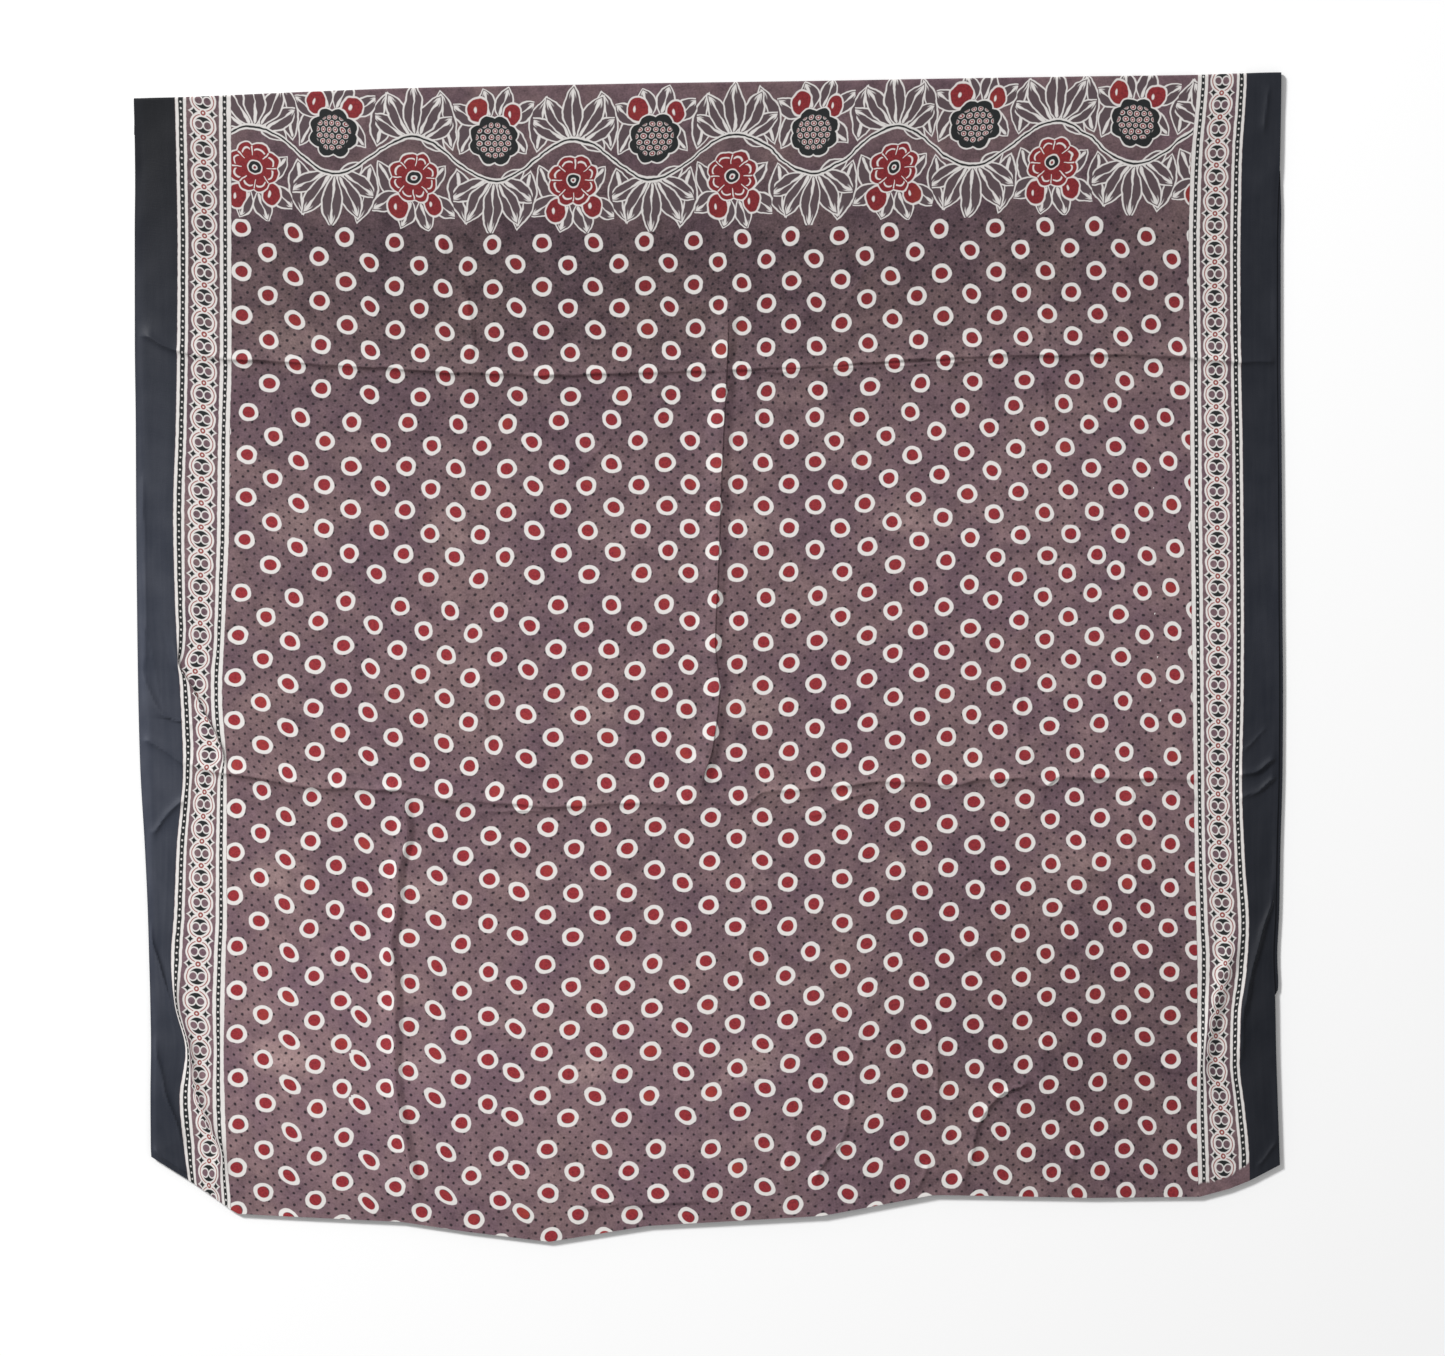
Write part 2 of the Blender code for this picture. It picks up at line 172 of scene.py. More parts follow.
# Creases: the crest's path, its height, and the reach of its lit upper left and shaded lower right flank
Crease = namedtuple("Crease", "path height lit shaded")
CREASES = [Crease(*row) for row in (
    (((10, 283), (28, 289), (50, 291)), 4, 7, 2.6),
    (((40, 291), (100, 291)), 2.6, 8, 2),
    (((92, 290), (250, 289), (430, 291), (530, 290)), 3.4, 9, 1.8),
    (((510, 290), (600, 291), (700, 291), (790, 290)), 2.8, 9, 1.7),
    (((760, 290), (860, 289), (940, 290), (1000, 289), (1062, 291)), 3.6, 9, 2),
    (((1055, 291), (1106, 292), (1146, 292)), 3.4, 8, 2.6),
    (((615, 295), (740, 295), (865, 294)), 1.2, 2, 1.4),
    (((48, 711), (94, 717), (174, 717), (223, 713), (285, 709)), 3.8, 9, 2.6),
    (((274, 710), (317, 714), (366, 716), (425, 719), (494, 718), (560, 722)), 3.4, 8, 2.6),
    (((350, 726), (380, 724), (425, 723)), 1.6, 2.5, 1.8),
    (((560, 705), (583, 721), (608, 726), (628, 713), (690, 711)), 2.8, 7, 2.8),
    (((675, 711), (726, 713), (771, 718), (820, 723), (845, 717)), 3.6, 8, 2.8),
    (((835, 718), (879, 717), (904, 726), (919, 717), (983, 717), (1052, 715)), 3.8, 8, 2.8),
    (((677, 739), (701, 730), (728, 724)), 2, 4, 2.4),
    (((1008, 719), (1027, 725), (1054, 733)), 2.4, 4, 2.4),
    (((306, 160), (328, 205), (334, 238), (336, 270)), 2.2, 3.5, 2.4),
    (((401, 303), (406, 350)), 0.8, 3, 2),
    (((472, 352), (450, 381)), 0.8, 2.5, 2),
    (((517, 300), (524, 330)), 0.9, 2.5, 2),
    (((608, 296), (618, 326), (628, 355), (642, 392)), 2, 3, 2.2),
    (((689, 322), (705, 347), (715, 375), (723, 418)), 1.3, 2.2, 2.8),
    (((726, 198), (707, 234)), 0.9, 2, 5),
    (((888, 166), (856, 186)), 0.8, 2, 5),
    (((668, 218), (670, 276)), 0.8, 3.5, 3),
    (((770, 186), (783, 262)), 0.9, 4, 3.5),
    (((891, 170), (902, 200), (908, 285)), 1, 4, 3.5),
    (((980, 190), (998, 224)), 1, 3, 3),
    (((905, 312), (909, 350)), 1.1, 3, 2.2),
    (((881, 425), (884, 510), (881, 602)), 1, 7, 6),
    (((349, 590), (353, 618), (357, 660)), 1.6, 2.6, 2),
    (((492, 634), (490, 678)), 1, 3, 2.4),
    (((883, 600), (880, 690)), 1.3, 3.5, 2.6),
    (((911, 630), (925, 680)), 1, 3, 2.4),
    (((946, 650), (952, 690)), 1, 3, 2.4),
    (((741, 718), (749, 754)), 1.2, 2.6, 2.2),
    (((890, 688), (904, 746)), 1.2, 3, 2.4),
    (((990, 726), (989, 790), (992, 840)), 1.5, 4, 3),
    (((945, 760), (938, 850), (946, 930)), 0.9, 7, 6),
    (((246, 762), (264, 790)), 0.9, 3, 2.2),
    (((196, 808), (219, 845)), 1, 4, 3.5),
    (((620, 784), (613, 841), (609, 936)), 1.2, 3.5, 2.4),
    (((812, 899), (840, 885)), 1, 3, 2.4),
    (((848, 873), (864, 894)), 0.9, 3, 2.4),
    (((726, 928), (739, 955), (758, 982)), 1.8, 3, 2.2),
    (((720, 960), (717, 1014), (705, 1062), (676, 1106)), 2.2, 4, 2.6),
    (((793, 956), (797, 999), (798, 1052)), 2.4, 3.5, 2.2),
    (((748, 1032), (762, 1071), (776, 1110)), 1.8, 4, 3),
    (((884, 1022), (858, 1034), (838, 1060), (829, 1094), (820, 1126)), 4.2, 6, 2.8),
    (((785, 1102), (774, 1128)), 1.8, 4, 3),
    (((930, 1086), (923, 1130)), 1.8, 3.5, 2.4),
    (((901, 982), (898, 1028)), 1, 3, 2.4),
    (((1005, 884), (1006, 935)), 1, 5, 4),
    (((990, 1002), (1019, 1006), (1052, 1009)), 1.6, 5, 3.5),
    (((658, 1046), (646, 1104)), 1, 4, 3.5),
    (((446, 1119), (501, 1120), (560, 1118)), 2.8, 6, 1.8),
    (((8, 430), (10, 540), (6, 625)), 1.6, 2.5, 4),
    (((3, 560), (14, 600), (24, 668)), 1, 3, 4),
    (((6, 622), (14, 648), (26, 664), (50, 671)), 3.4, 5, 3),
    (((5, 690), (24, 699), (44, 709)), 3, 4, 2.6),
    (((10, 782), (28, 763), (46, 748)), 2.6, 3.5, 3),
    (((5, 880), (20, 915), (32, 954), (40, 995)), 3, 5, 3),
    (((5, 992), (20, 1035), (40, 1090)), 3.2, 5, 3),
    (((0, 1099), (16, 1108), (40, 1118)), 2.6, 4, 2.4),
    (((1133, 14), (1129, 60)), 1.6, 4, 3),
    (((1108, 684), (1133, 674)), 1.2, 3, 2.4),
    (((1103, 709), (1124, 714), (1144, 708)), 3, 4, 2.4),
    (((1103, 731), (1124, 735), (1146, 727)), 3, 4, 2.4),
    (((1147, 836), (1128, 875), (1113, 914), (1108, 990)), 4, 7, 3.6),
    (((1118, 1106), (1146, 1092)), 1.8, 4, 2.6),
)]

# How round a crest is, how soon a crease sets in at its ends, and how many flanks away it is felt
CREST = 0.8
CREASE_FADE = 26.0
FADE_SHARE = 0.35
REACHES = 7.0

# How far a crest strays and how uneven it is, with two wavelengths each, and what sets their phase
WANDER = 0.9
WANDER_RUNS = (9.5, 23.0)
UNEVENNESS = 0.3
UNEVEN_RUNS = (14.0, 31.0)
OWN_PHASE = (0.7, 0.3)

# Tucks: the crest's path, the cloth taken up and where round the crest, the height, and both flanks
Tuck = namedtuple("Tuck", "path taken lead width height lit face")
TUCKS = [Tuck(*row) for row in (
    (((590, 240), (588, 297), (583, 421), (581, 485), (579, 560), (584, 610), (577, 665), (565, 706)),
     4, 2, 5, 5.2, 22, 12),
    (((274, 716), (278, 749), (269, 790), (267, 830), (261, 866), (266, 900), (268, 1000), (282, 1109)),
     4.5, 10.5, 4, 4.7, 20, 8),
    (((36, 590), (60, 640), (86, 712)), 11, 3, 13, 4.2, 10, 9),
    (((38, 925), (46, 990), (66, 1060), (84, 1110)), 11, 7, 16, 3.8, 14, 13),
    (((1084, 870), (1072, 930), (1058, 1010)), 7, 8, 14, 4.4, 14, 14),
)]

# How soon a tuck sets in at its ends, and how much of its fall is on the shaded face
TUCK_FADE = 44.0
FACE_SHARE = 0.8

# Waves of the whole cloth: lengths and heights, how many of each, their spread, and the share kept
RUMPLES = ((260.0, 0.34), (120.0, 0.20), (62.0, 0.11), (34.0, 0.06))
WAVES_EACH = 5
WAVE_STRETCH = (0.75, 1.3)
RUMPLE_SHARE = 0.6

# The grid: its steps, finer ones near creases and tucks, and a coarser underside below the hollows
STEP = 2.3
FINE_STEP = 1.3
FINE_ACROSS = ((560.0, 602.0), (256.0, 288.0))
FINE_REACH = 12.0
TURN_STEPS = 10
UNDER_STEP = 6.0
UNDERSIDE_LINES = 5
HOLLOW = 0.65
NORMAL_STEP = 0.4

# The square for a piece's colours: the top's share and margin, the underside's strip and the rim's four
TOP_SHARE = 0.955
TOP_MARGIN = 0.02
BAKE_STRIPS = ((0.96, 0.976), (0.98, 0.983), (0.985, 0.988), (0.99, 0.993), (0.995, 0.998))

# Colours of the print
PLUM = (0.130, 0.079, 0.097)
BROWN = (0.175, 0.112, 0.117)
PALE = (0.305, 0.210, 0.200)
STAIN = (0.088, 0.054, 0.070)
RED = (0.300, 0.030, 0.036)
RED_DEEP = (0.165, 0.016, 0.022)
RED_ORANGE = (0.390, 0.060, 0.036)
BLACK = (0.016, 0.018, 0.019)
SPECK = (0.018, 0.013, 0.018)
UNDYED = (0.700, 0.672, 0.650)
PLUM_SHADE = (0.094, 0.066, 0.074)
FINE_RED = (0.270, 0.062, 0.055)
NAVY = (0.0122, 0.0142, 0.0205)
# The navy's lighter colour is painted satin sheen and rubbing
NAVY_SHEEN_AND_RUB_COLOUR = (0.030, 0.032, 0.040)


def ease(t):
    """A soft step from 0 to 1."""
    t = np.clip(t, 0.0, 1.0)
    return t * t * (3 - 2 * t)


def smooth(places, values, at):
    """Read a smooth curve through the values, with no overshoot between them."""
    steps = np.diff(places)
    slopes = np.diff(values) / steps
    before, after = slopes[:-1], slopes[1:]
    same_way = before * after > 0
    tangents = np.zeros(len(places))
    harmonic = 2 * before[same_way] * after[same_way] / (before[same_way] + after[same_way])
    tangents[1:-1][same_way] = harmonic
    at = np.clip(at, places[0], places[-1])
    i = np.clip(np.searchsorted(places, at, side="right") - 1, 0, len(steps) - 1)
    t = (at - places[i]) / steps[i]
    start = (1 + 2 * t) * (1 - t) ** 2 * values[i] + t * (1 - t) ** 2 * steps[i] * tangents[i]
    end = t * t * (3 - 2 * t) * values[i + 1] - t * t * (1 - t) * steps[i] * tangents[i + 1]
    return start + end


def between(place, stops, values):
    """Read straight runs between stops that may themselves be arrays."""
    result = values[0]
    for i in range(len(stops) - 1):
        slope = (values[i + 1] - values[i]) / (stops[i + 1] - stops[i])
        run = values[i] + (place - stops[i]) * slope
        result = run if i == 0 else np.where(place > stops[i], run, result)
    return result


LINE = Line(*np.array(LINES, dtype=float).T)
SECTION = Section(*np.array(SECTIONS, dtype=float).T)
ZONES = (0.0, EDGE_BAND, EDGE_BAND + BORDER,
         CLOTH_WIDTH - EDGE_BAND - BORDER, CLOTH_WIDTH - EDGE_BAND, CLOTH_WIDTH)


def heights(across):
    """How high on the sheet the fold, both creases and the raw end are."""
    fold, upper, lower = (smooth(LINE.across, high, across)
                          for high in (LINE.fold, LINE.upper, LINE.lower))
    end = np.interp(across, LINE.across, LINE.end)
    return fold - TURN_RADIUS, upper, lower, end


def marks(across):
    """How far down the cloth the fold, pallu end, both creases and raw end are."""
    fold, upper, lower, end = heights(across)
    here = np.ones_like(fold)
    return (UPPER_CREASE - fold + upper, PALLU_END * here, UPPER_CREASE * here,
            LOWER_CREASE * here, LOWER_CREASE + lower - end)


def tuck_crest(tuck, down):
    """How far across a tuck's crest is, and how strong the tuck is there."""
    acrosses, downs = np.array(tuck.path, dtype=float).T
    fades = ease((down - downs[0]) / TUCK_FADE + 0.5) * ease((downs[-1] - down) / TUCK_FADE + 0.5)
    return smooth(downs, acrosses, down), fades


def taken_up(across, down):
    """How much cloth the tucks to the left of a point take up."""
    total = 0.0
    for tuck in TUCKS:
        crest, strength = tuck_crest(tuck, down)
        reach = tuck.lead + tuck.width
        total = total + tuck.taken * strength * ease((across - crest + tuck.lead) / reach)
    return total


def tucks_rise(across, down):
    """How high the tucks raise the cloth."""
    total = 0.0
    for tuck in TUCKS:
        crest, strength = tuck_crest(tuck, down)
        rise = ease((across - crest) / tuck.lit + 1)
        tucked = ease((across - crest) / tuck.width)
        faced = ease((across - crest - tuck.width * 0.5) / tuck.face)
        fall = 1 - (1 - FACE_SHARE) * tucked - FACE_SHARE * faced
        total = total + tuck.height * strength * rise * fall
    return total


def place(across, down):
    """Where a point of the flat cloth lies on the sheet."""
    fold, _, upper, lower, end = marks(across)
    y = between(down, (fold, upper, lower, end), heights(across))
    sides = [smooth(SECTION.down, side, down) for side in SECTION[1:]]
    stops = [zone - taken_up(zone, down) for zone in ZONES]
    x = between(across - taken_up(across, down), stops, sides)
    return x, y


def crease_rise(crease, across, down):
    """Height of one crease at points of the cloth."""
    across_first, down_first = crease.path[0]
    across_last, down_last = crease.path[-1]
    runs_down = down_last - down_first > abs(across_last - across_first)
    along, aside = (down, across) if runs_down else (across, down)
    points = np.array(crease.path, dtype=float)
    stops, middles = (points[:, 1], points[:, 0]) if runs_down else (points[:, 0], points[:, 1])
    if stops[0] > stops[-1]:
        stops, middles = stops[::-1], middles[::-1]
    length = stops[-1] - stops[0]
    from_start = along - stops[0]
    phase = across_first * OWN_PHASE[0] + down_first * OWN_PHASE[1]
    wander_near, wander_far = (from_start / run for run in WANDER_RUNS)
    wander = WANDER * np.sin(wander_near + phase) * np.sin(wander_far + 2 * phase)
    slant = math.hypot(1.0, (middles[-1] - middles[0]) / length)
    side = (aside - smooth(stops, middles, along) - wander) / slant
    reach = np.where(side > 0, crease.shaded, crease.lit)
    fade = min(CREASE_FADE, length * FADE_SHARE)
    ends = ease(from_start / fade + 0.5) * ease((length - from_start) / fade + 0.5)
    uneven_near, uneven_far = (from_start / run for run in UNEVEN_RUNS)
    uneven = 1 + UNEVENNESS * np.sin(uneven_near + 1.7 * phase) * np.sin(uneven_far + phase)
    crest = np.exp(-(np.sqrt(side * side + CREST * CREST) - CREST) / reach)
    return crease.height * uneven * ends * crest


def near_crease(crease, across, down):
    """Which points are close enough to a crease to be raised by it."""
    points = np.array(crease.path, dtype=float)
    margin = REACHES * max(crease.lit, crease.shaded) + CREASE_FADE
    low, high = points.min(axis=0) - margin, points.max(axis=0) + margin
    return (across > low[0]) & (across < high[0]) & (down > low[1]) & (down < high[1])


def rumples():
    """The waves of the cloth's unevenness: direction, wavelength, phase and height of each."""
    draw = np.random.default_rng(SEED)
    waves = []
    shortest, longest = WAVE_STRETCH
    for length, height in RUMPLES:
        for _ in range(WAVES_EACH):
            turn, stretch, phase = draw.uniform((0, shortest, 0), (math.pi, longest, math.tau))
            waves.append((turn, length * stretch, phase, height))
    return waves


WAVES = rumples()


def relief(across, down):
    """Height of the front layer's creases, tucks and unevenness."""
    cubes = np.zeros_like(across)
    for crease in CREASES:
        near = near_crease(crease, across, down)
        cubes[near] += crease_rise(crease, across[near], down[near]) ** 3
    ridges = np.cbrt(cubes + tucks_rise(across, down) ** 3)
    waves = 0.0
    for turn, length, phase, height in WAVES:
        along = across * math.cos(turn) + down * math.sin(turn)
        waves = waves + height * np.sin(math.tau * along / length + phase)
    return ridges + RUMPLE_SHARE * waves


def from_edges(across, down, end):
    """How far a point is from the selvages and the raw end."""
    return np.minimum(np.minimum(across, CLOTH_WIDTH - across), end - down)


def settled(across, down):
    """Height of the middle of the front layer without its own creases."""
    fold, *_, end = marks(across)
    height = FRONT_HEIGHT
    for swell in (Swell(*row) for row in SWELLS):
        u = (across - swell.across) / swell.reach_across
        v = (down - swell.down) / swell.reach_down
        height = height + swell.height * np.exp(-u * u - v * v)
    from_fold = ease((down - fold) / EDGE_SETTLE_RUN)
    from_edge = ease(from_edges(across, down, end) / EDGE_SETTLE_RUN)
    return height - FOLD_SETTLE * (1 - from_fold) - EDGE_SETTLE * (1 - from_edge) * from_fold


def down_at(across, row):
    """How far down the cloth a row is. Row 0 is the top fold and row 4 the raw end."""
    return between(np.maximum(row, 0.0), range(5), marks(across))


def front_point(across, row, raised=True):
    """A point of the front layer. Rows below 0 go round the top fold and back under it."""
    fold, *_, end = marks(across)
    down = down_at(across, row)
    x, y = place(across, down)
    z = settled(across, down)
    calm = ease(from_edges(across, down, end) / EDGE_CALM) * ease((down - fold) / FOLD_CALM)
    z = z + calm * (relief(across, down) if raised else -HOLLOW)
    run = np.maximum(-row, 0.0) * UNDER_LENGTH
    angle = np.minimum(run, TURN_LENGTH) / TURN_RADIUS
    back = np.maximum(run - TURN_LENGTH, 0.0)
    y = y + TURN_RADIUS * np.sin(angle) - back
    z = z - TURN_RADIUS * (1 - np.cos(angle))
    under = settled(across, down + back) - LAYER_PITCH
    return np.stack((x, y, z + (under - z) * ease(back / UNDER_RUN)), axis=-1)


def second_point(across, share):
    """A point of the second layer, a share of the way down from where the turned cloth ends."""
    fold, *_, end = marks(across)
    start = fold + UNDER_RUN + SECOND_GAP
    down = start + (end - SECOND_SHORT - start) * share
    x, y = place(across, down)
    shows = ease((LIP_END - down) / LIP_FADE)
    shows = shows * ease((down - LIP_TOP[0]) / (LIP_TOP[1] - LIP_TOP[0]))
    x = x + LIP * (2 * shows - 1) * ease((across - LIP_START) / (CLOTH_WIDTH - LIP_START))
    return np.stack((x, y, settled(across, down) - LAYER_PITCH), axis=-1)


def to_metres(points):
    """Points in the part's own frame."""
    return (points - (*MIDDLE, 0.0)) * MM


def spread(start, end, step, fine=()):
    """Stations from start to end, a step apart, and closer inside each fine stretch."""
    stations = [start]
    while stations[-1] < end:
        near = any(a - step <= stations[-1] <= b for a, b in fine)
        stations.append(stations[-1] + (FINE_STEP if near else step))
    stations = np.array(stations)
    return start + (stations - start) * (end - start) / (stations[-1] - start)


def rows_between(first, last):
    """Rows of the front layer between two marks, and round the top fold if first is -1."""
    rows = []
    if first < 0:
        turn = TURN_LENGTH / UNDER_LENGTH
        under = np.linspace(-1.0, -turn, round(UNDER_RUN / UNDER_STEP), endpoint=False)
        rows += [under, np.linspace(-turn, 0.0, TURN_STEPS, endpoint=False)]
    lengths = (PALLU_END, UPPER_CREASE - PALLU_END, LOWER_CREASE - UPPER_CREASE, LAST_PANEL)
    for panel in range(max(first, 0), last):
        fine = []
        if panel >= 2:
            fine.append((0.0, FINE_REACH))
        if panel in (1, 2):
            fine.append((lengths[panel] - FINE_REACH, lengths[panel]))
        rows.append(panel + spread(0.0, lengths[panel], STEP, fine)[:-1] / lengths[panel])
    return np.concatenate(rows + [[float(last)]])


def unit(vectors):
    """Vectors of length 1."""
    return vectors / np.linalg.norm(vectors, axis=-1, keepdims=True)


def surface_normals(point, across, row):
    """Normals of a layer's surface, which agree on both sides of a seam."""
    row_step = NORMAL_STEP / LAST_PANEL
    along = point(across + NORMAL_STEP, row) - point(across - NORMAL_STEP, row)
    up = point(across, row - row_step) - point(across, row + row_step)
    return unit(np.cross(along, up))


def every(lines, gap):
    """Numbers of every few grid lines, with the first and the last."""
    return np.unique(np.append(np.arange(0, lines, gap), lines - 1))


def grid_faces(corner):
    """Quads between a grid's vertices, facing up."""
    quads = np.stack((corner[1:, :-1], corner[1:, 1:], corner[:-1, 1:], corner[:-1, :-1]), -1)
    return quads.reshape(-1, 4)


def rim_faces(top, under, rows, columns):
    """Faces round the edge, from a fine top edge to a coarse underside edge."""
    faces = []
    for side, (low, high) in enumerate(zip(columns, columns[1:])):
        faces.append([*top[0, low:high + 1][::-1], under[0, side], under[0, side + 1]])
        faces.append([*top[-1, low:high + 1], under[-1, side + 1], under[-1, side]])
    for side, (low, high) in enumerate(zip(rows, rows[1:])):
        faces.append([*top[low:high + 1, 0], under[side + 1, 0], under[side, 0]])
        faces.append([*top[low:high + 1, -1][::-1], under[side, -1], under[side + 1, -1]])
    return faces


def bake_places(places, corners, sizes, faces, top_size, segments):
    """Places in a square for the colours. The top fills most of it, in segments side by side."""
    low, high = places.min(axis=0), places.max(axis=0)
    s, t = ((places - low) / (high - low))[corners].T
    middle_t = np.add.reduceat(t, np.cumsum(sizes) - sizes) / sizes
    segment = np.repeat(np.minimum(np.floor(middle_t * segments), segments - 1), sizes)
    filled = 1 - 2 * TOP_MARGIN
    square = np.stack(((segment + TOP_MARGIN + filled * s) / segments * TOP_SHARE,
                       TOP_MARGIN + filled * (t * segments - segment)), axis=-1)
    top_faces, under_faces, cross_faces = faces
    part = np.zeros(len(sizes), dtype=int)
    part[top_faces:top_faces + under_faces] = 1
    rim = np.arange(len(sizes) - top_faces - under_faces)
    part[top_faces + under_faces:] = 2 + rim % 2 + 2 * (rim >= cross_faces)
    part = np.repeat(part, sizes)
    beneath = corners >= top_size
    for number, (start, end) in enumerate(BAKE_STRIPS, start=1):
        aside = s if number == 1 else beneath
        along = s if number in (2, 3) else t
        here = part == number
        square[here, 0] = start + (end - start) * aside[here]
        square[here, 1] = along[here]
    return square


def joined(*grids):
    """The places of several grids in one list."""
    return np.concatenate([grid.reshape(-1, grid.shape[-1]) for grid in grids])


def add_object(name, data):
    """A new object in the scene."""
    thing = bpy.data.objects.new(name, data)
    bpy.context.scene.collection.objects.link(thing)
    return thing


def add_map(mesh, name, places):
    """Two numbers for each corner of the mesh's faces."""
    layer = mesh.uv_layers.new(name=name)
    layer.data.foreach_set("uv", places.ravel())


def new_mesh(name, verts, corners, starts, smooth_faces):
    """A mesh from its vertices and its faces' corners, whose first few faces are smooth."""
    mesh = bpy.data.meshes.new(name)
    mesh.vertices.add(len(verts))
    mesh.vertices.foreach_set("co", verts.ravel())
    mesh.loops.add(len(corners))
    mesh.loops.foreach_set("vertex_index", corners)
    mesh.polygons.add(len(starts))
    mesh.polygons.foreach_set("loop_start", starts)
    mesh.update(calc_edges=True)
    mesh.polygons.foreach_set("use_smooth", np.arange(len(starts)) < smooth_faces)
    return mesh


def cloth_shell(name, points, across, rows, cloth_uv, materials, zones=None, gap=UNDERSIDE_LINES,
                blocks=False, segments=1):
    """A thin closed shell of cloth on a layer's surface, with its flat places as its print map."""
    point, under_point = points
    a, r = np.meshgrid(across, rows)
    few_rows, few_columns = every(len(rows), gap), every(len(across), gap)
    few = np.ix_(few_rows, few_columns)
    under_a, under_r = a[few], r[few]
    normal = surface_normals(point, a, r)
    under_normal = surface_normals(under_point, under_a, under_r)
    verts = to_metres(joined(point(a, r) + THREAD_WALL / 2 * normal,
                             under_point(under_a, under_r) - THREAD_WALL / 2 * under_normal))
    top = np.arange(a.size).reshape(a.shape)
    under = a.size + np.arange(under_a.size).reshape(under_a.shape)
    top_quads, under_quads = grid_faces(top), grid_faces(under)[:, ::-1]
    quads = np.concatenate((top_quads, under_quads))
    rim = rim_faces(top, under, few_rows, few_columns)
    corners = np.concatenate((quads.ravel(), np.concatenate(rim)))
    sizes = np.concatenate((np.full(len(quads), 4), [len(face) for face in rim]))
    starts = np.cumsum(sizes) - sizes
    mesh = new_mesh(name, verts, corners, starts, len(quads))
    flat_places = joined(cloth_uv(a, r), cloth_uv(under_a, under_r))
    add_map(mesh, "Cloth", flat_places[corners] * MM)
    if blocks:
        block_places, numbers = block_maps(flat_places[corners], sizes)
        add_map(mesh, "Block", block_places)
        add_map(mesh, "Number", numbers)
    faces = (len(top_quads), len(under_quads), 2 * len(few_columns) - 2)
    add_map(mesh, "OFBake", bake_places(flat_places, corners, sizes, faces, a.size, segments))
    face_normals = np.empty(len(sizes) * 3)
    mesh.polygons.foreach_get("normal", face_normals)
    normals = joined(normal, -under_normal)[corners]
    rim_normals = face_normals.reshape(-1, 3)[len(quads):]
    normals[quads.size:] = np.repeat(rim_normals, sizes[len(quads):], axis=0)
    mesh.normals_split_custom_set(normals)
    for material in materials:
        mesh.materials.append(material)
    if zones is not None:
        middles = (flat_places[corners[starts], 0] + flat_places[corners[starts + 2], 0]) / 2
        mesh.polygons.foreach_set("material_index", zones(middles).astype(int))
    return add_object(name, mesh)


def arithmetic(operation):
    """A method that is one step of arithmetic in the material of its first value."""
    return lambda *values: values[0].dye.math(operation, *values)


class Amount:
    """A number that differs over the cloth, with ordinary arithmetic."""

    def __init__(self, dye, socket):
        self.dye = dye
        self.socket = socket

    def __rsub__(self, other):
        return self.dye.math("SUBTRACT", other, self)

    __add__ = __radd__ = arithmetic("ADD")
    __sub__ = arithmetic("SUBTRACT")
    __mul__ = __rmul__ = arithmetic("MULTIPLY")
    __truediv__ = arithmetic("DIVIDE")
    __mod__ = arithmetic("MODULO")
    __pow__ = arithmetic("POWER")
    __abs__ = arithmetic("ABSOLUTE")
    __floor__ = arithmetic("FLOOR")


def more(value, times, plus):
    """A value times a number, plus a number."""
    return value.dye.math("MULTIPLY_ADD", value, times, plus)


def mask(value, times, plus, strength=1):
    """A mask that rises with a value from 0 to its strength."""
    made = value.dye.math("MULTIPLY_ADD", value, times, plus, clamp=True)
    return made if strength == 1 else made * strength


def inside(distance, soft=0.7):
    """1 where a distance is below 0, with the soft edge of wet dye."""
    return mask(distance, -1 / soft, 0.5)


def strip(place, start, end, soft=0.7):
    """1 between start and end."""
    half = (end - start) / 2
    return inside(abs(place - (start + half)) - half, soft)


def limit(value, low, high):
    """A value kept between two numbers."""
    return value.dye.math("MINIMUM", value.dye.math("MAXIMUM", value, low), high)


def cell(turns, pitch):
    """How far a place is from the middle of its cell, where cells repeat."""
    return (turns.dye.math("FRACT", turns) - 0.5) * pitch


def far(x, y):
    """How far a point is from the middle of a motif."""
    return x.dye.math("SQRT", more(x, x, y * y))


def pointed(x, y, size, power):
    """Below 0 inside a star of four points."""
    return (x * (1 / size)) ** power + (y * (1 / size)) ** power - 1.0


def either(first, *others):
    """The highest of some masks."""
    for other in others:
        first = first.dye.math("MAXIMUM", first, other)
    return first


def switched(gate, off, on):
    """One number where the gate is 0 and another where it is 1."""
    return more(gate, on - off, off)


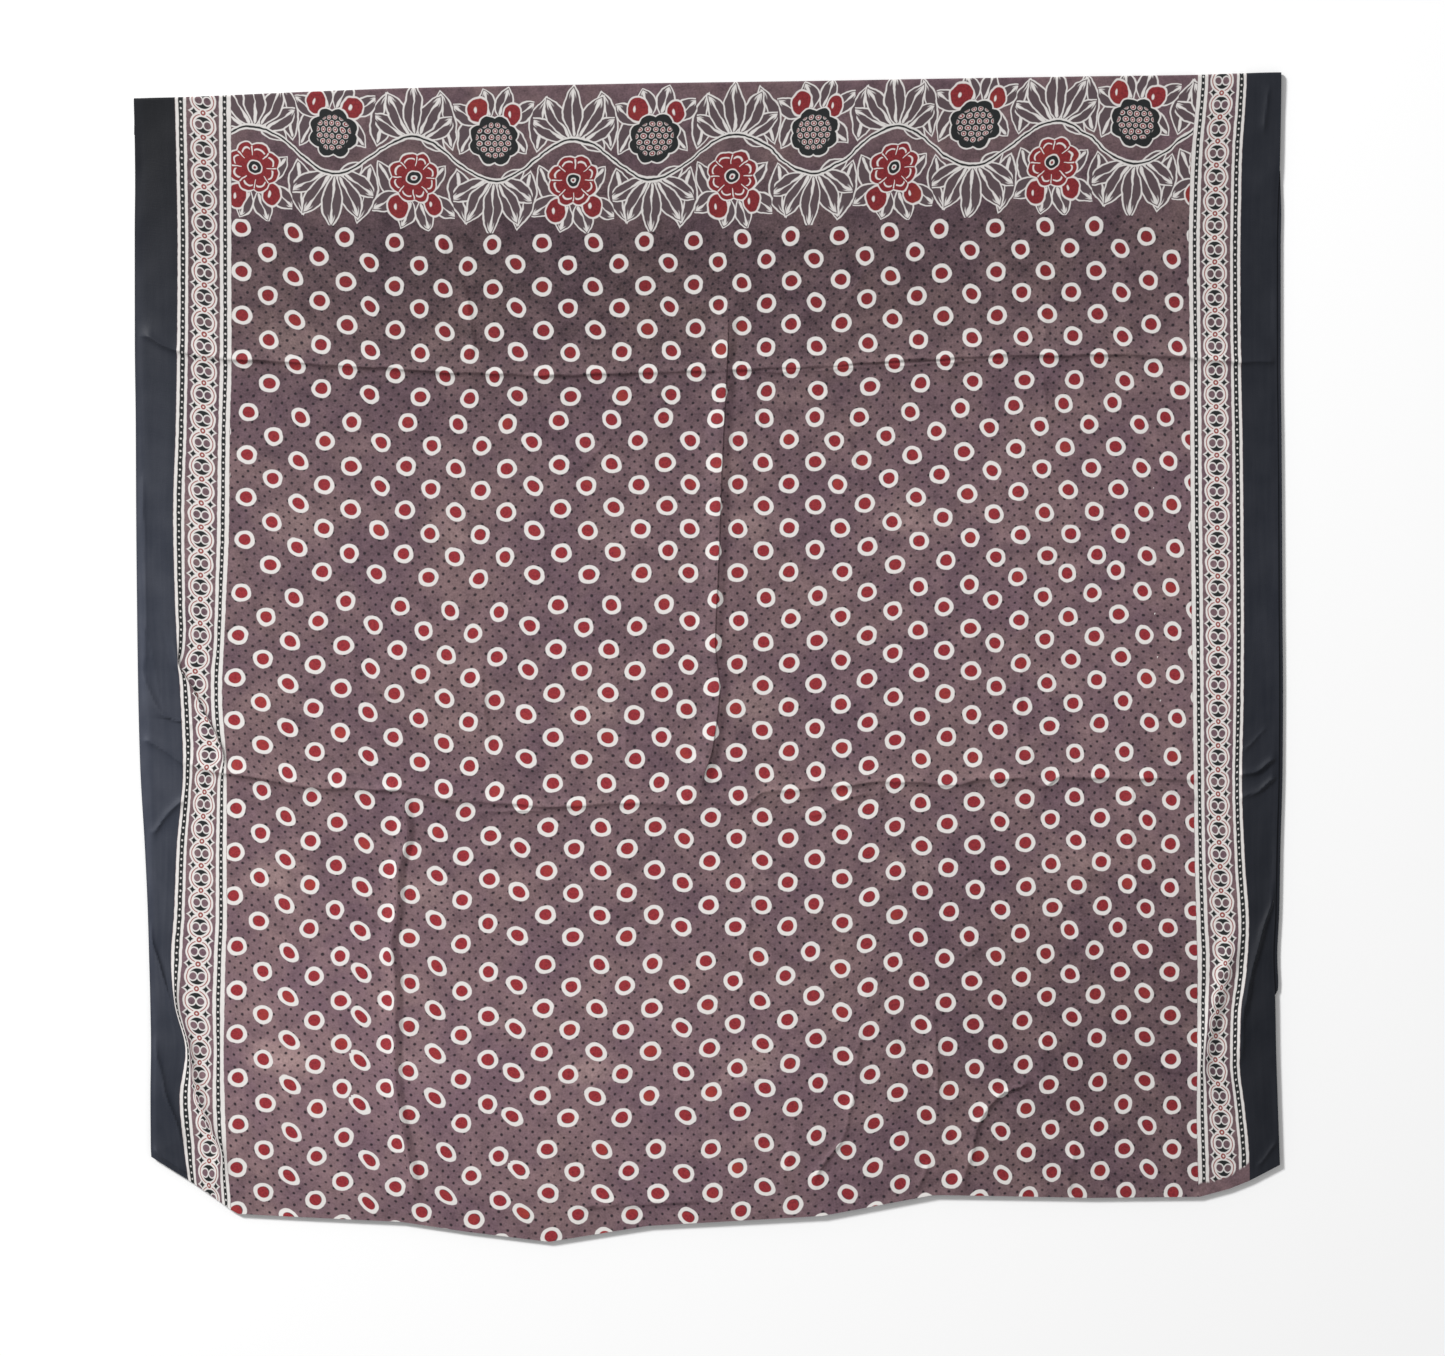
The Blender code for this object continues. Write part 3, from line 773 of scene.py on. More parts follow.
class Dye:
    """Works out a cloth's print in a material's nodes, where lengths are in millimetres."""

    def __init__(self, name):
        self.material = bpy.data.materials.new(name)
        self.material.use_nodes = True
        self.tree = self.material.node_tree
        self.shader = self.tree.nodes["Principled BSDF"]
        self.across, self.down = (place * (1 / MM) for place in self.map("Cloth"))

    def node(self, kind, *values, **settings):
        """A new node of the material, with values for its first sockets."""
        made = self.tree.nodes.new("ShaderNode" + kind)
        for name, value in settings.items():
            setattr(made, name, value)
        for socket, value in zip(made.inputs, values):
            self.feed(socket, value)
        return made

    def feed(self, socket, value):
        """Give a socket a constant, or link it to a worked out value."""
        if isinstance(value, Amount):
            value = value.socket
        if isinstance(value, bpy.types.NodeSocket):
            self.tree.links.new(value, socket)
        elif isinstance(value, tuple) and len(value) == 3 and socket.type == "RGBA":
            socket.default_value = (*value, 1.0)
        else:
            socket.default_value = value

    def math(self, operation, *values, clamp=False):
        """One step of arithmetic."""
        made = self.node("Math", *values, operation=operation, use_clamp=clamp)
        return Amount(self, made.outputs[0])

    def map(self, name):
        """The two numbers of one of the mesh's maps."""
        places = self.node("UVMap", uv_map=name)
        parts = self.node("SeparateXYZ", places.outputs[0])
        return Amount(self, parts.outputs[0]), Amount(self, parts.outputs[1])

    def vector(self, x, y, z):
        """A place for a noise."""
        return self.node("CombineXYZ", x, y, z).outputs[0]

    def noise(self, size, detail=2.0, other=0.0, roughness=0.5, at=None):
        """Soft noise from 0 to 1 whose lumps are about size wide."""
        x, y = at or (self.across, self.down)
        made = self.node("TexNoise", noise_dimensions="3D")
        self.feed(made.inputs["Vector"], self.vector(x, y, other * size))
        made.inputs["Scale"].default_value = 1 / size
        made.inputs["Detail"].default_value = detail
        made.inputs["Roughness"].default_value = roughness
        return Amount(self, made.outputs["Fac"])

    def swing(self, reach, size, **settings):
        """Soft noise about 0 that reaches so far in all."""
        return (self.noise(size, **settings) - 0.5) * reach

    def chance(self, x, y, other):
        """Three chance numbers from 0 to 1 for each whole x and y."""
        made = self.node("TexWhiteNoise", self.vector(x, y, other), noise_dimensions="3D")
        parts = self.node("SeparateColor", made.outputs["Color"])
        return [Amount(self, socket) for socket in parts.outputs]

    def layers(self, colour, *coats):
        """Colours laid one over the other, each where its mask is 1."""
        for over, where in coats:
            made = self.node("Mix", data_type="RGBA", clamp_factor=True)
            under_socket, over_socket = (socket for socket in made.inputs if socket.type == "RGBA")
            self.feed(made.inputs["Factor"], where)
            self.feed(under_socket, colour)
            self.feed(over_socket, over)
            colour = next(socket for socket in made.outputs if socket.type == "RGBA")
        return colour

    def shade(self, colour, factor):
        """A colour made lighter or darker."""
        made = self.node("VectorMath", colour, operation="SCALE")
        self.feed(made.inputs["Scale"], factor)
        return made.outputs[0]


# Print blocks, course by course: middle, dot pitch, turn of rows, lean of columns, and printed columns
Block = namedtuple("Block", "course column across down pitch turn lean start stop", defaults=(0, 6))
BLOCKS_A_COURSE = 7
BLOCK_ROWS = (
    (146, 236, 26.1, 0.03, -0.01),
    (296, 239, 24.6, -0.01, 0),
    (445, 236, 25.8, 0.01, -0.005),
    (594, 237, 24.5, 0.005, -0.005),
    (743, 238, 25.3, -0.01, -0.04),
    (897, 238, 25, 0.005, -0.025, 0, 7),
    (1049, 247, 24.5, 0, -0.05, 1, 6),
    (152, 421, 25.9, 0.025, 0.015),
    (308, 418, 25, -0.015, 0.02),
    (463, 413, 26.3, 0.005, -0.03),
    (616, 417, 25.6, 0.035, 0.005),
    (766, 420, 25.4, -0.03, -0.065),
    (917, 416, 24.8, -0.015, -0.05, 0, 7),
    (1066, 428, 23, 0, -0.07, 1, 6),
    (148, 605, 26, -0.03, 0.025),
    (302, 603, 24.6, 0.015, 0.03),
    (461, 597, 26.5, 0.03, 0.015),
    (617, 596, 26, 0.025, 0.02),
    (770, 598, 25.5, -0.005, -0.01),
    (919, 588, 24.7, -0.06, -0.04, 0, 7),
    (1067, 599, 22.5, 0, -0.04, 1, 6),
    (142, 783, 24.9, -0.02, 0.03),
    (295, 780, 25.7, 0.03, 0.04),
    (455, 774, 26.5, 0.03, 0.03),
    (614, 770, 25.8, 0.04, 0.03),
    (770, 773, 26, 0.005, 0),
    (922, 770, 24.8, -0.035, 0),
    (1062, 769, 23, -0.01, 0.03),
    (147, 963, 25.5, -0.055, -0.025),
    (294, 957, 25.8, 0.085, 0),
    (451, 955, 26.6, 0.03, 0.02),
    (613, 954, 26, -0.035, -0.055),
    (768, 951, 25.5, 0.02, -0.035),
    (916, 947, 24.2, -0.055, -0.025),
    (1062, 939, 25.2, -0.055, -0.02),
    (142, 1142, 26.1, -0.025, 0.08),
    (298, 1142, 26.2, 0.065, 0.075),
    (453, 1140, 26.9, 0.035, 0.035),
    (613, 1141, 26.1, -0.07, 0.02),
    (770, 1130, 25.8, -0.035, 0.045),
    (919, 1123, 24.1, -0.04, 0.01),
    (1061, 1118, 23.5, -0.01, 0.01),
)
BLOCKS = [Block(*divmod(number, BLOCKS_A_COURSE), *row) for number, row in enumerate(BLOCK_ROWS)]

# The dots of a block: their pitch across and down, their columns and rows, and their rings
DOT_PITCH = 25.5
DOT_DROP = 43.9
DOT_COLUMNS = 6
DOT_ROWS = 4
RING_OUT = 9.6
RING_IN = 5.9
RED_DISC = 6.0

# How far the dots stray: crooked rings, rough edges, single dots, and the red of a whole block
RING_WOBBLE = 2.0
RING_ROUGHNESS = 0.6
DOT_SLIP = 1.2
RED_SLIP = 1.8

# How the dots slant by column, how their width differs, and how worn their white is: times and plus
DOT_SLANT = (0.27, 0.05)
DOT_WIDTH = (0.10, 0.95)
WHITE_WEAR = (0.10, 0.95)

# The small specks, how far their rows drift, and the paler blotch of each block
SPECK_PITCH = (12.6, 12.4)
SPECK_SIZE = 1.36
SPECK_DRIFT = 26
DRIFT_SIZE = 110
BLOTCH = (4.0, 30.0)
BLOTCH_REACH = (26.0, 17.0)

# Soft patches of painted light and shade, on the ground with some uneven dye and on the navy with
# rubbing: places across and down, reaches, and change of lightness
Patch = namedtuple("Patch", "across down reach_across reach_down change")
# Painted light and shade over all the print: darker at the top and lower right, lighter lower left
PAINTED_LIGHT_PATCHES = (
    (560, 60, 900, 230, -0.16),
    (150, 150, 300, 160, -0.05),
    (1020, 180, 260, 200, -0.03),
    (150, 420, 250, 200, -0.03),
    (200, 930, 350, 300, 0.05),
    (1020, 1040, 220, 180, -0.07),
)
# Painted light and shade of the ground by panel, with some uneven dye: darker top and lower right,
# lighter lower left
GROUND_SHADE_AND_DYE_PATCHES = (
    (400, 170, 480, 140, -0.42),
    (960, 170, 260, 110, -0.16),
    (1000, 560, 190, 260, 0.12),
    (200, 990, 190, 190, 0.34),
    (580, 1010, 230, 130, 0.20),
    (330, 560, 120, 90, 0.06),
    (940, 980, 240, 160, -0.20),
)
OVAL_PATCHES = (
    (980, 500, 900, 560, -0.85),
    (210, 1020, 330, 210, 0.35),
)
# Painted shade and light of the red: darker at the top and lower right, lighter at the left
RED_PAINTED_SHADE_PATCHES = (
    (560, 130, 800, 180, -0.26),
    (900, 1000, 220, 170, -0.15),
    (250, 700, 300, 400, 0.10),
)
# Painted light and shade of the navy bands, with rubbing: darker top left and lower right, lighter lower
# left with a painted highlight along the edge
NAVY_PAINTED_LIGHT_AND_RUB_PATCHES = (
    (20, 60, 60, 230, -0.75),
    (20, 700, 60, 420, 1.5),
    (3, 700, 7, 420, 1),
    (1130, 560, 40, 180, 0.30),
    (1130, 1000, 60, 300, -0.20),
)
# Where pale bands run along the storage creases: partly worn dye, partly a painted highlight on their
# lit upper flank
CREASE_WEAR_AND_HIGHLIGHT_DOWN = (286.0, 713.0)

# Masks of the uneven dye, of the crease bands' wear and painted highlight, and of the navy's painted
# sheen and rubbing: how steeply each rises with its noise, from where, and how strong it gets
WARM = (2.8, -1.8)
STAINED = (5.0, -3.0, 0.5)
CREASE_WEAR_AND_HIGHLIGHT_MASK = (2.6, -0.9, 0.45)
DEEP = (4.0, -1.6, 0.8)
ORANGE = (5.0, -2.8, 0.45)
INKED = (3.0, -0.1)
NAVY_SHEEN_AND_RUB_MASK = (1.6, -0.9, 0.55)

# The ground's mottling: size, detail, number and roughness of each noise, and its change of lightness
Grain = namedtuple("Grain", "size detail other roughness change")
GROUND_GRAIN = (Grain(15, 2, 11, 0.5, 0.75), Grain(4.5, 3, 1, 0.65, 0.8), Grain(1.9, 1, 12, 0.5, 0.7))
PATCHINESS = 0.4

# The cloth's surface, the width and run of its threads and slubs, and the depth of the weave
SURFACE = {"Sheen Weight": 0.04, "Sheen Roughness": 0.4, "Specular IOR Level": 0.16}
ROUGHNESS_SWING = 0.16
THREAD = 0.55
THREAD_RUN = 0.10
SLUB = 1.8
SLUB_RUN = 0.08
SLUB_SHARE = 0.8
WEAVE_STRENGTH = 0.35
WEAVE_DEPTH = 0.00025


def tone(dye, patches):
    """A factor that changes softly over the cloth by patches, which holds painted light and shade, with
    some uneven dye and rubbing, for the colours, and the dots' slant for the oval patches.
    """
    total = 1.0
    for patch in (Patch(*row) for row in patches):
        x = (dye.across - patch.across) * (1 / patch.reach_across)
        y = (dye.down - patch.down) * (1 / patch.reach_down)
        reach = dye.math("POWER", math.e, more(x, x, y * y) * -1.0)
        total = more(reach, patch.change, total)
    return total


def in_block(block, across, down):
    """Where places on the cloth are in a print block, from its middle."""
    across, down = across - block.across, down - block.down
    x = (across + block.lean * down) * (DOT_PITCH / block.pitch)
    return x, down - block.turn * across


def first_row(odd):
    """How far above a block's middle a column's first dot is. Every other column is higher."""
    return (odd * -0.5 - (DOT_ROWS - 1) / 2 + 0.25) * DOT_DROP


def to_nearest_dot(block, across, down):
    """How far places are from a print block's nearest dot."""
    x, y = in_block(block, across, down)
    nearest = np.inf
    for nth in range(block.start, block.stop):
        first = first_row(nth % 2)
        dot = np.clip(np.round((y - first) / DOT_DROP), 0, DOT_ROWS - 1)
        away = np.hypot(x - (nth - (DOT_COLUMNS - 1) / 2) * DOT_PITCH, y - first - dot * DOT_DROP)
        nearest = np.minimum(nearest, away)
    return nearest


def block_maps(places, sizes):
    """The places of each face's corners in its print block, and the block's numbers."""
    middles = np.add.reduceat(places, np.cumsum(sizes) - sizes) / sizes[:, None]
    nearest = np.full(len(sizes), np.inf)
    chosen = np.zeros(len(sizes), dtype=int)
    for number, block in enumerate(BLOCKS):
        away = to_nearest_dot(block, *middles.T)
        closer = away < nearest
        nearest[closer] = away[closer]
        chosen[closer] = number
    block = Block(*(np.repeat(column[chosen], sizes) for column in np.array(BLOCKS, dtype=float).T))
    return (np.stack(in_block(block, *places.T), axis=-1) * MM,
            np.stack((block.column, block.course), axis=-1))


def cloth_ground(dye, block=None):
    """The mottled mauve ground, with a paler blotch in each print block, pale bands at the storage
    creases that are wear and painted highlight, and painted panel light and shade with some uneven dye.
    """
    patchy = dye.noise(30, detail=3, other=7)
    warm = mask(dye.noise(95, detail=3, other=3) + patchy * 0.6, *WARM)
    colour = dye.layers(PLUM, (BROWN, warm))
    if block is not None:
        column, row, x, y = block
        luck, *_ = dye.chance(column, row, 5)
        from_blotch = far((x - BLOTCH[0]) * (1 / BLOTCH_REACH[0]),
                          (y - BLOTCH[1]) * (1 / BLOTCH_REACH[1]))
        ragged = from_blotch + dye.swing(1.6, 14, detail=3, other=9)
        colour = dye.layers(colour, (PALE, inside(ragged - 0.9, 1.2) * (0.1 + luck * 0.5)))
    colour = dye.layers(colour, (STAIN, mask(dye.noise(42, other=21), *STAINED)))
    lean = dye.noise(60, detail=1, other=25) * 14 - 7
    # Pale bands along the storage creases: partly worn dye, partly a painted highlight on their lit
    # upper flank
    worn = 0.0
    for down in CREASE_WEAR_AND_HIGHLIGHT_DOWN:
        worn = worn + inside(abs(dye.down - down - lean * 0.4) - 1.0, 14.0)
    colour = dye.layers(colour, (PALE, worn * mask(dye.noise(26, other=23), *CREASE_WEAR_AND_HIGHLIGHT_MASK)))
    lightness = more(patchy, PATCHINESS, -PATCHINESS / 2)
    for grain in GROUND_GRAIN:
        noise = dye.noise(grain.size, grain.detail, grain.other, grain.roughness)
        lightness = lightness + more(noise, grain.change, -grain.change / 2)
    # Painted light and shade by panel, with some uneven dye
    return dye.shade(colour, lightness + tone(dye, GROUND_SHADE_AND_DYE_PATCHES))


def red_dye(dye, at=None):
    """Uneven madder red, made darker and lighter in patches by painted shade and light."""
    deep = mask(dye.noise(2.4, detail=3, other=4, roughness=0.7, at=at), *DEEP)
    orange = mask(dye.noise(38, other=6, at=at), *ORANGE)
    return dye.shade(dye.layers(RED, (RED_DEEP, deep), (RED_ORANGE, orange)), tone(dye, RED_PAINTED_SHADE_PATCHES))


def finish_cloth(dye, colour, lightness, roughness=0.66):
    """Join the print to the shader, with the cloth's weave and soft sheen."""
    inputs = dye.shader.inputs
    # The lightness holds painted light and shade
    dye.feed(inputs["Base Color"], dye.shade(colour, lightness))
    rubbed = dye.noise(16, other=13)
    dye.feed(inputs["Roughness"], more(rubbed, ROUGHNESS_SWING, roughness - ROUGHNESS_SWING / 2))
    for name, value in SURFACE.items():
        inputs[name].default_value = value
    weft = dye.noise(THREAD, detail=1, other=2, at=(dye.across * THREAD_RUN, dye.down))
    warp = dye.noise(THREAD, detail=1, other=8, at=(dye.across, dye.down * THREAD_RUN))
    slub = dye.noise(SLUB, other=15, at=(dye.across * SLUB_RUN, dye.down))
    bump = dye.node("Bump")
    bump.inputs["Strength"].default_value = WEAVE_STRENGTH
    bump.inputs["Distance"].default_value = WEAVE_DEPTH
    dye.feed(bump.inputs["Height"], weft + warp + slub * SLUB_SHARE)
    dye.feed(inputs["Normal"], bump.outputs[0])
    return dye.material


def specks(dye):
    """Small dark specks in rows and between them, which drift and are inked unevenly."""
    drift, slide = (dye.noise(DRIFT_SIZE, detail=1, other=other) * SPECK_DRIFT for other in (33, 35))
    x = (dye.across + drift) * (1 / SPECK_PITCH[0])
    y = (dye.down + slide) * (1 / SPECK_PITCH[1])
    rows, between_rows = (far(cell(x + half, SPECK_PITCH[0]), cell(y + half, SPECK_PITCH[1]))
                          for half in (0.0, 0.5))
    nearest = dye.math("MINIMUM", rows, between_rows)
    inked = dye.noise(11, detail=1, other=31)
    speck = inside(nearest - more(inked, 1.0, SPECK_SIZE - 0.5), 1.0)
    return speck * mask(inked, *INKED)


def field_cloth():
    """The mauve field with its ringed red dots and small black specks."""
    dye = Dye("field_cloth")
    x, y = (place * (1 / MM) for place in dye.map("Block"))
    column, row = (math.floor(number + 0.5) for number in dye.map("Number"))
    nth = limit(math.floor(x * (1 / DOT_PITCH) + DOT_COLUMNS / 2), 0, DOT_COLUMNS)
    from_left = x - (nth - (DOT_COLUMNS - 1) / 2) * DOT_PITCH
    first = first_row(nth % 2)
    dot = limit(math.floor((y - first) * (1 / DOT_DROP) + 0.5), 0, DOT_ROWS - 1)
    from_top = y - first - dot * DOT_DROP
    one, two, three = dye.chance(nth, dot, 9)
    dy = from_top + (three - 0.5) * DOT_SLIP
    slant = more(dye.math("COSINE", nth * (math.tau / 3)), *DOT_SLANT) * tone(dye, OVAL_PATCHES)
    dx = (from_left + (one - 0.5) * DOT_SLIP) * more(two, *DOT_WIDTH) - dy * slant
    away = far(dx, dy)
    wobble = dye.swing(RING_WOBBLE, 9.0, detail=0, other=11, at=(x, y))
    rough = dye.swing(RING_ROUGHNESS, 3.0, detail=1, other=17, at=(x, y))
    ring = inside(away + wobble + rough - RING_OUT) * inside(RING_IN - away - wobble * 0.8)
    red_x, red_y, _ = dye.chance(column, row, 14)
    red_away = far(dx + (red_x - 0.5) * RED_SLIP, dy + (red_y - 0.5) * RED_SLIP)
    worn = dye.noise(2.2, other=19)
    colour = dye.layers(
        cloth_ground(dye, (column, row, x, y)),
        (BLACK, inside(away + wobble - RING_IN) * 0.6),
        (red_dye(dye), inside(red_away + wobble * 0.7 - rough - RED_DISC)),
        (SPECK, specks(dye) * inside(RED_DISC + 0.5 - away) * 0.95),
        (dye.shade(UNDYED, more(worn, *WHITE_WEAR)), ring))
    # The print is made darker and lighter by painted light and shade
    return finish_cloth(dye, colour, tone(dye, PAINTED_LIGHT_PATCHES))


# The border from its outer edge inwards: white rules, black strips with white dots, and the chain
RULES = ((0.4, 3.4), (8.1, 11.0), (43.1, 46.6), (50.5, 54.6))
STRIPS = ((3.2, 8.3), (46.4, 50.7))
STRIP_DOTS = 6.27
STRIP_DOT_SIZE = 0.95
CHAIN_MIDDLE = 27.4
CHAIN_START = (73.0, 24.0)
CHAIN_PITCH = (24.6, 24.15)
CHAIN_LEAN = 0.05
CHAIN_OUT = 13.0
CHAIN_RED = (10.0, 11.0)
CHAIN_FILL = 8.2
LOBE_PLACE = 4.3
LOBE_SIZE = 3.5
LOBE_SQUASH = 0.96
LOBE_RIM = 1.2
LINK_OUT = 4.0
LINK_RED = (1.0, 2.7)
STAR_PLACE = 8.9
STAR_SIZE = 3.7
STAR_POWER = 0.72
STAR_RIM_SIZE = 5.8
STAR_RIM_POWER = 0.8
PRINT_STOPS = 1097.0
PRINT_SLANT = 0.42


def border_cloth():
    """The chain border between its dotted rules, mirrored at the right, where the print ends early."""
    dye = Dye("border_cloth")
    right = dye.math("GREATER_THAN", dye.across, CLOTH_WIDTH / 2)
    shake = dye.swing(1.5, 7.0, other=41)
    inwards = dye.math("MINIMUM", dye.across, CLOTH_WIDTH - dye.across) - EDGE_BAND + shake
    ground = cloth_ground(dye)
    start = switched(right, *CHAIN_START)
    pitch = switched(right, *CHAIN_PITCH)
    x = inwards - CHAIN_MIDDLE
    shake_down = dye.swing(1.2, 9.0, detail=1, other=43)
    y = cell((dye.down + shake_down - start - x * CHAIN_LEAN) / pitch, pitch)
    away = far(x, y)
    filled = inside(away - CHAIN_FILL)
    from_link = abs(y) - pitch * 0.5
    link = far(x, from_link)
    star_x, star_y = abs(abs(x) - STAR_PLACE), abs(from_link)
    star = pointed(star_x, star_y, STAR_SIZE, STAR_POWER)
    star_rim = pointed(star_x, star_y, STAR_RIM_SIZE, STAR_RIM_POWER)
    lobe = far(abs(x) - LOBE_PLACE, y * LOBE_SQUASH) - LOBE_SIZE
    colour = dye.layers(
        ground,
        (UNDYED, inside(star_rim, 0.2)),
        (UNDYED, inside(away - CHAIN_OUT)),
        (FINE_RED, strip(away, *CHAIN_RED)),
        (BLACK, inside(star, 0.3)),
        (BLACK, filled * inside(LOBE_RIM - lobe)),
        (ground, filled * inside(lobe)),
        (UNDYED, inside(link - LINK_OUT)),
        (FINE_RED, strip(link, *LINK_RED)))
    bead = cell((dye.down + shake * 0.8) * (1 / STRIP_DOTS), STRIP_DOTS)
    for strip_start, strip_end in STRIPS:
        bead_away = far(inwards - (strip_start + strip_end) / 2, bead)
        colour = dye.layers(
            colour,
            (BLACK, strip(inwards, strip_start, strip_end)),
            (UNDYED, inside(bead_away - STRIP_DOT_SIZE, 0.8)))
    for rule_start, rule_end in RULES:
        colour = dye.layers(colour, (UNDYED, strip(inwards, rule_start, rule_end)))
    stop = PRINT_STOPS + inwards * PRINT_SLANT
    colour = dye.layers(colour, (ground, right * inside(stop - dye.down + shake * 3, 2.0)))
    # The print is made darker and lighter by painted light and shade
    return finish_cloth(dye, colour, tone(dye, PAINTED_LIGHT_PATCHES))


# The pallu's creeper, whose tiles are turned over one after the other: wave, stem, flowers and eyes
WAVE = 159.0
STEM_MIDDLE = 77.0
STEM_SWING = 21.0
STEM = 3.0
STEM_LINE = 1.0
FLOWER = 25.0
FLOWER_RISE = 20.0
PETALS = 4
PETAL_DEPTH = 3.5
EYE = (7.5, 6.2, 2.8, 1.4)

# The seeds of a flower: their pitch, how close the rows are, and the size of each
SEED_PITCH = 7.0
SEED_ROWS = 0.86
SEED_SIZE = 2.6

# The leaves round each flower and each crossing of the stem, and the buds
Leaf = namedtuple("Leaf", "x y turn length width")
FLOWER_LEAVES = [Leaf(*row) for row in (
    (-9, -20, -148, 40, 8),
    (10, -19, -36, 38, 8.5),
    (-4, -21, -120, 48, 9),
    (5, -22, -62, 47, 9),
    (0, -22, -93, 53, 9),
    (-16, 36, 142, 30, 8.5),
    (17, 38, 40, 32, 8.5),
    (-4, 44, 109, 28, 8),
    (5, 44, 72, 30, 8),
)]
CROSSING_LEAVES = [Leaf(*row) for row in (
    (-10, 9, 141, 32, 8),
    (-3, 11, 101, 58, 10.5),
    (5, 6, 62, 48, 10),
    (-8, -8, -131, 36, 8.5),
    (3, -10, -80, 54, 11),
)]
BUDS = ((23.0, 50.0, 9.5), (-21.0, -46.0, 8.5))
OUTLINE = 1.6
VEIN = 0.7


def draw_leaf(dye, colour, x, y, leaf):
    """A pointed leaf with a white outline and white veins."""
    turn = math.radians(leaf.turn)
    cos, sin = math.cos(turn), math.sin(turn)
    dx, dy = x - leaf.x, y - leaf.y
    along = more(dx, cos, dy * sin)
    side = abs(more(dy, cos, dx * -sin))
    t = along * (1 / leaf.length)
    width = t * (1 - t) * 4 * leaf.width
    outside = side - width
    rib = inside(side - more(dye.math("SINE", t * 9.0), 0.5, 0.3) - VEIN)
    side_vein = inside(abs(side - width * 0.52) - VEIN * 0.8) * inside(0.8 - t, 0.1)
    return dye.layers(
        colour,
        (UNDYED, inside(outside - OUTLINE)),
        (PLUM_SHADE, inside(outside)),
        (UNDYED, either(rib, side_vein) * inside(outside + 1.2, 1.0)))


def pallu_cloth():
    """The end band: a creeper with red rosettes, seeded flowers, buds and pointed leaves."""
    dye = Dye("pallu_cloth")
    colour = cloth_ground(dye)
    u = dye.across + (dye.swing(4.0, 13, other=51) + dye.swing(14, 60, other=55))
    v = dye.down + dye.swing(4.0, 13, other=53)
    half = WAVE / 2
    nth = math.floor(u * (1 / half))
    odd = nth % 2
    x = u - (nth + 0.5) * half
    y = (STEM_MIDDLE - v) * (1 - odd * 2)
    crossing = math.floor(u * (1 / half) + 0.5)
    crossing_x = u - crossing * half
    crossing_y = (STEM_MIDDLE - v) * (1 - crossing % 2 * 2)
    for leaf in CROSSING_LEAVES:
        colour = draw_leaf(dye, colour, crossing_x, crossing_y, leaf)
    for leaf in FLOWER_LEAVES:
        colour = draw_leaf(dye, colour, x, y, leaf)
    red = red_dye(dye, (u, v))
    for bud_x, bud_y, size in BUDS:
        bud = far(crossing_x - bud_x, (crossing_y - bud_y) * 0.8) - size
        glint = far(crossing_x - bud_x + 2.5, (crossing_y - bud_y) * 0.45) - 1.3
        colour = dye.layers(
            colour,
            (UNDYED, inside(bud - OUTLINE)),
            (red, inside(bud)),
            (UNDYED, inside(glint)))
    stem = abs(y + dye.math("COSINE", x * (math.pi / half)) * STEM_SWING)
    rise = y - FLOWER_RISE
    away = far(x, rise)
    angle = dye.math("ARCTAN2", rise, x)
    petals = abs(dye.math("SINE", angle * PETALS))
    edge = away - FLOWER - petals * PETAL_DEPTH + PETAL_DEPTH
    colour = dye.layers(
        colour,
        (UNDYED, inside(stem - STEM)),
        (BLACK, inside(stem - STEM_LINE)),
        (UNDYED, inside(edge - OUTLINE)))
    body = inside(edge)
    ray = inside(petals - 0.13, 0.1) * strip(away, 12, FLOWER - 4)
    curl = strip(away - petals * PETAL_DEPTH, FLOWER - 9.5, FLOWER - 7.8)
    curl = curl * inside(0.45 - petals, 0.1)
    eye_rim, *eye = (inside(away - size) for size in EYE)
    rosette = dye.layers(
        colour,
        (red, body),
        (UNDYED, either(ray, curl, eye_rim)),
        *zip((BLACK, UNDYED, red), eye))
    row_pitch = SEED_PITCH * SEED_ROWS
    row = math.floor(rise * (1 / row_pitch))
    shift = abs(row) % 2 * 0.5
    seed = far(cell(x * (1 / SEED_PITCH) + shift, SEED_PITCH), rise - (row + 0.5) * row_pitch)
    seeds = inside(away - FLOWER + 7.5, 1.5)
    seeded = dye.layers(
        colour,
        (BLACK, body),
        (UNDYED, seeds * inside(seed - SEED_SIZE)),
        (red, seeds * strip(seed, 0.8, 2.0, 0.6)))
    colour = dye.layers(seeded, (rosette, odd))
    # The print is made darker and lighter by painted light and shade
    return finish_cloth(dye, colour, tone(dye, PAINTED_LIGHT_PATCHES))


def selvage_cloth():
    """The plain navy edge band, lighter in streaks of painted satin sheen and rubbing, and lit and
    shaded by painted patches.
    """
    dye = Dye("selvage_cloth")
    # Streaks along the band: painted satin sheen and rubbing
    streak = dye.noise(5.0, detail=3, other=61, at=(dye.across, dye.down * 0.06))
    light = mask(streak * 0.6 + dye.noise(40, detail=3, other=63), *NAVY_SHEEN_AND_RUB_MASK)
    colour = dye.layers(NAVY, (NAVY_SHEEN_AND_RUB_COLOUR, light))
    # Painted light, shade and edge highlight along the band, with rubbing
    return finish_cloth(dye, colour, tone(dye, NAVY_PAINTED_LIGHT_AND_RUB_PATCHES), roughness=0.55)


def front_uv(across, row):
    """The print's own places on the front layer."""
    down = down_at(across, row) - np.maximum(-row, 0.0) * UNDER_LENGTH
    return np.stack((across, down), axis=-1)


def second_uv(across, share):
    """The print's own places on the second layer."""
    return np.stack((across, SECOND_PRINT[0] + share * SECOND_PRINT[1]), axis=-1)


def hidden_uv(across, run):
    """The print's own places on the hidden cloth."""
    return np.stack((across, HIDDEN_PRINT[0] + run * HIDDEN_PRINT[1]), axis=-1)


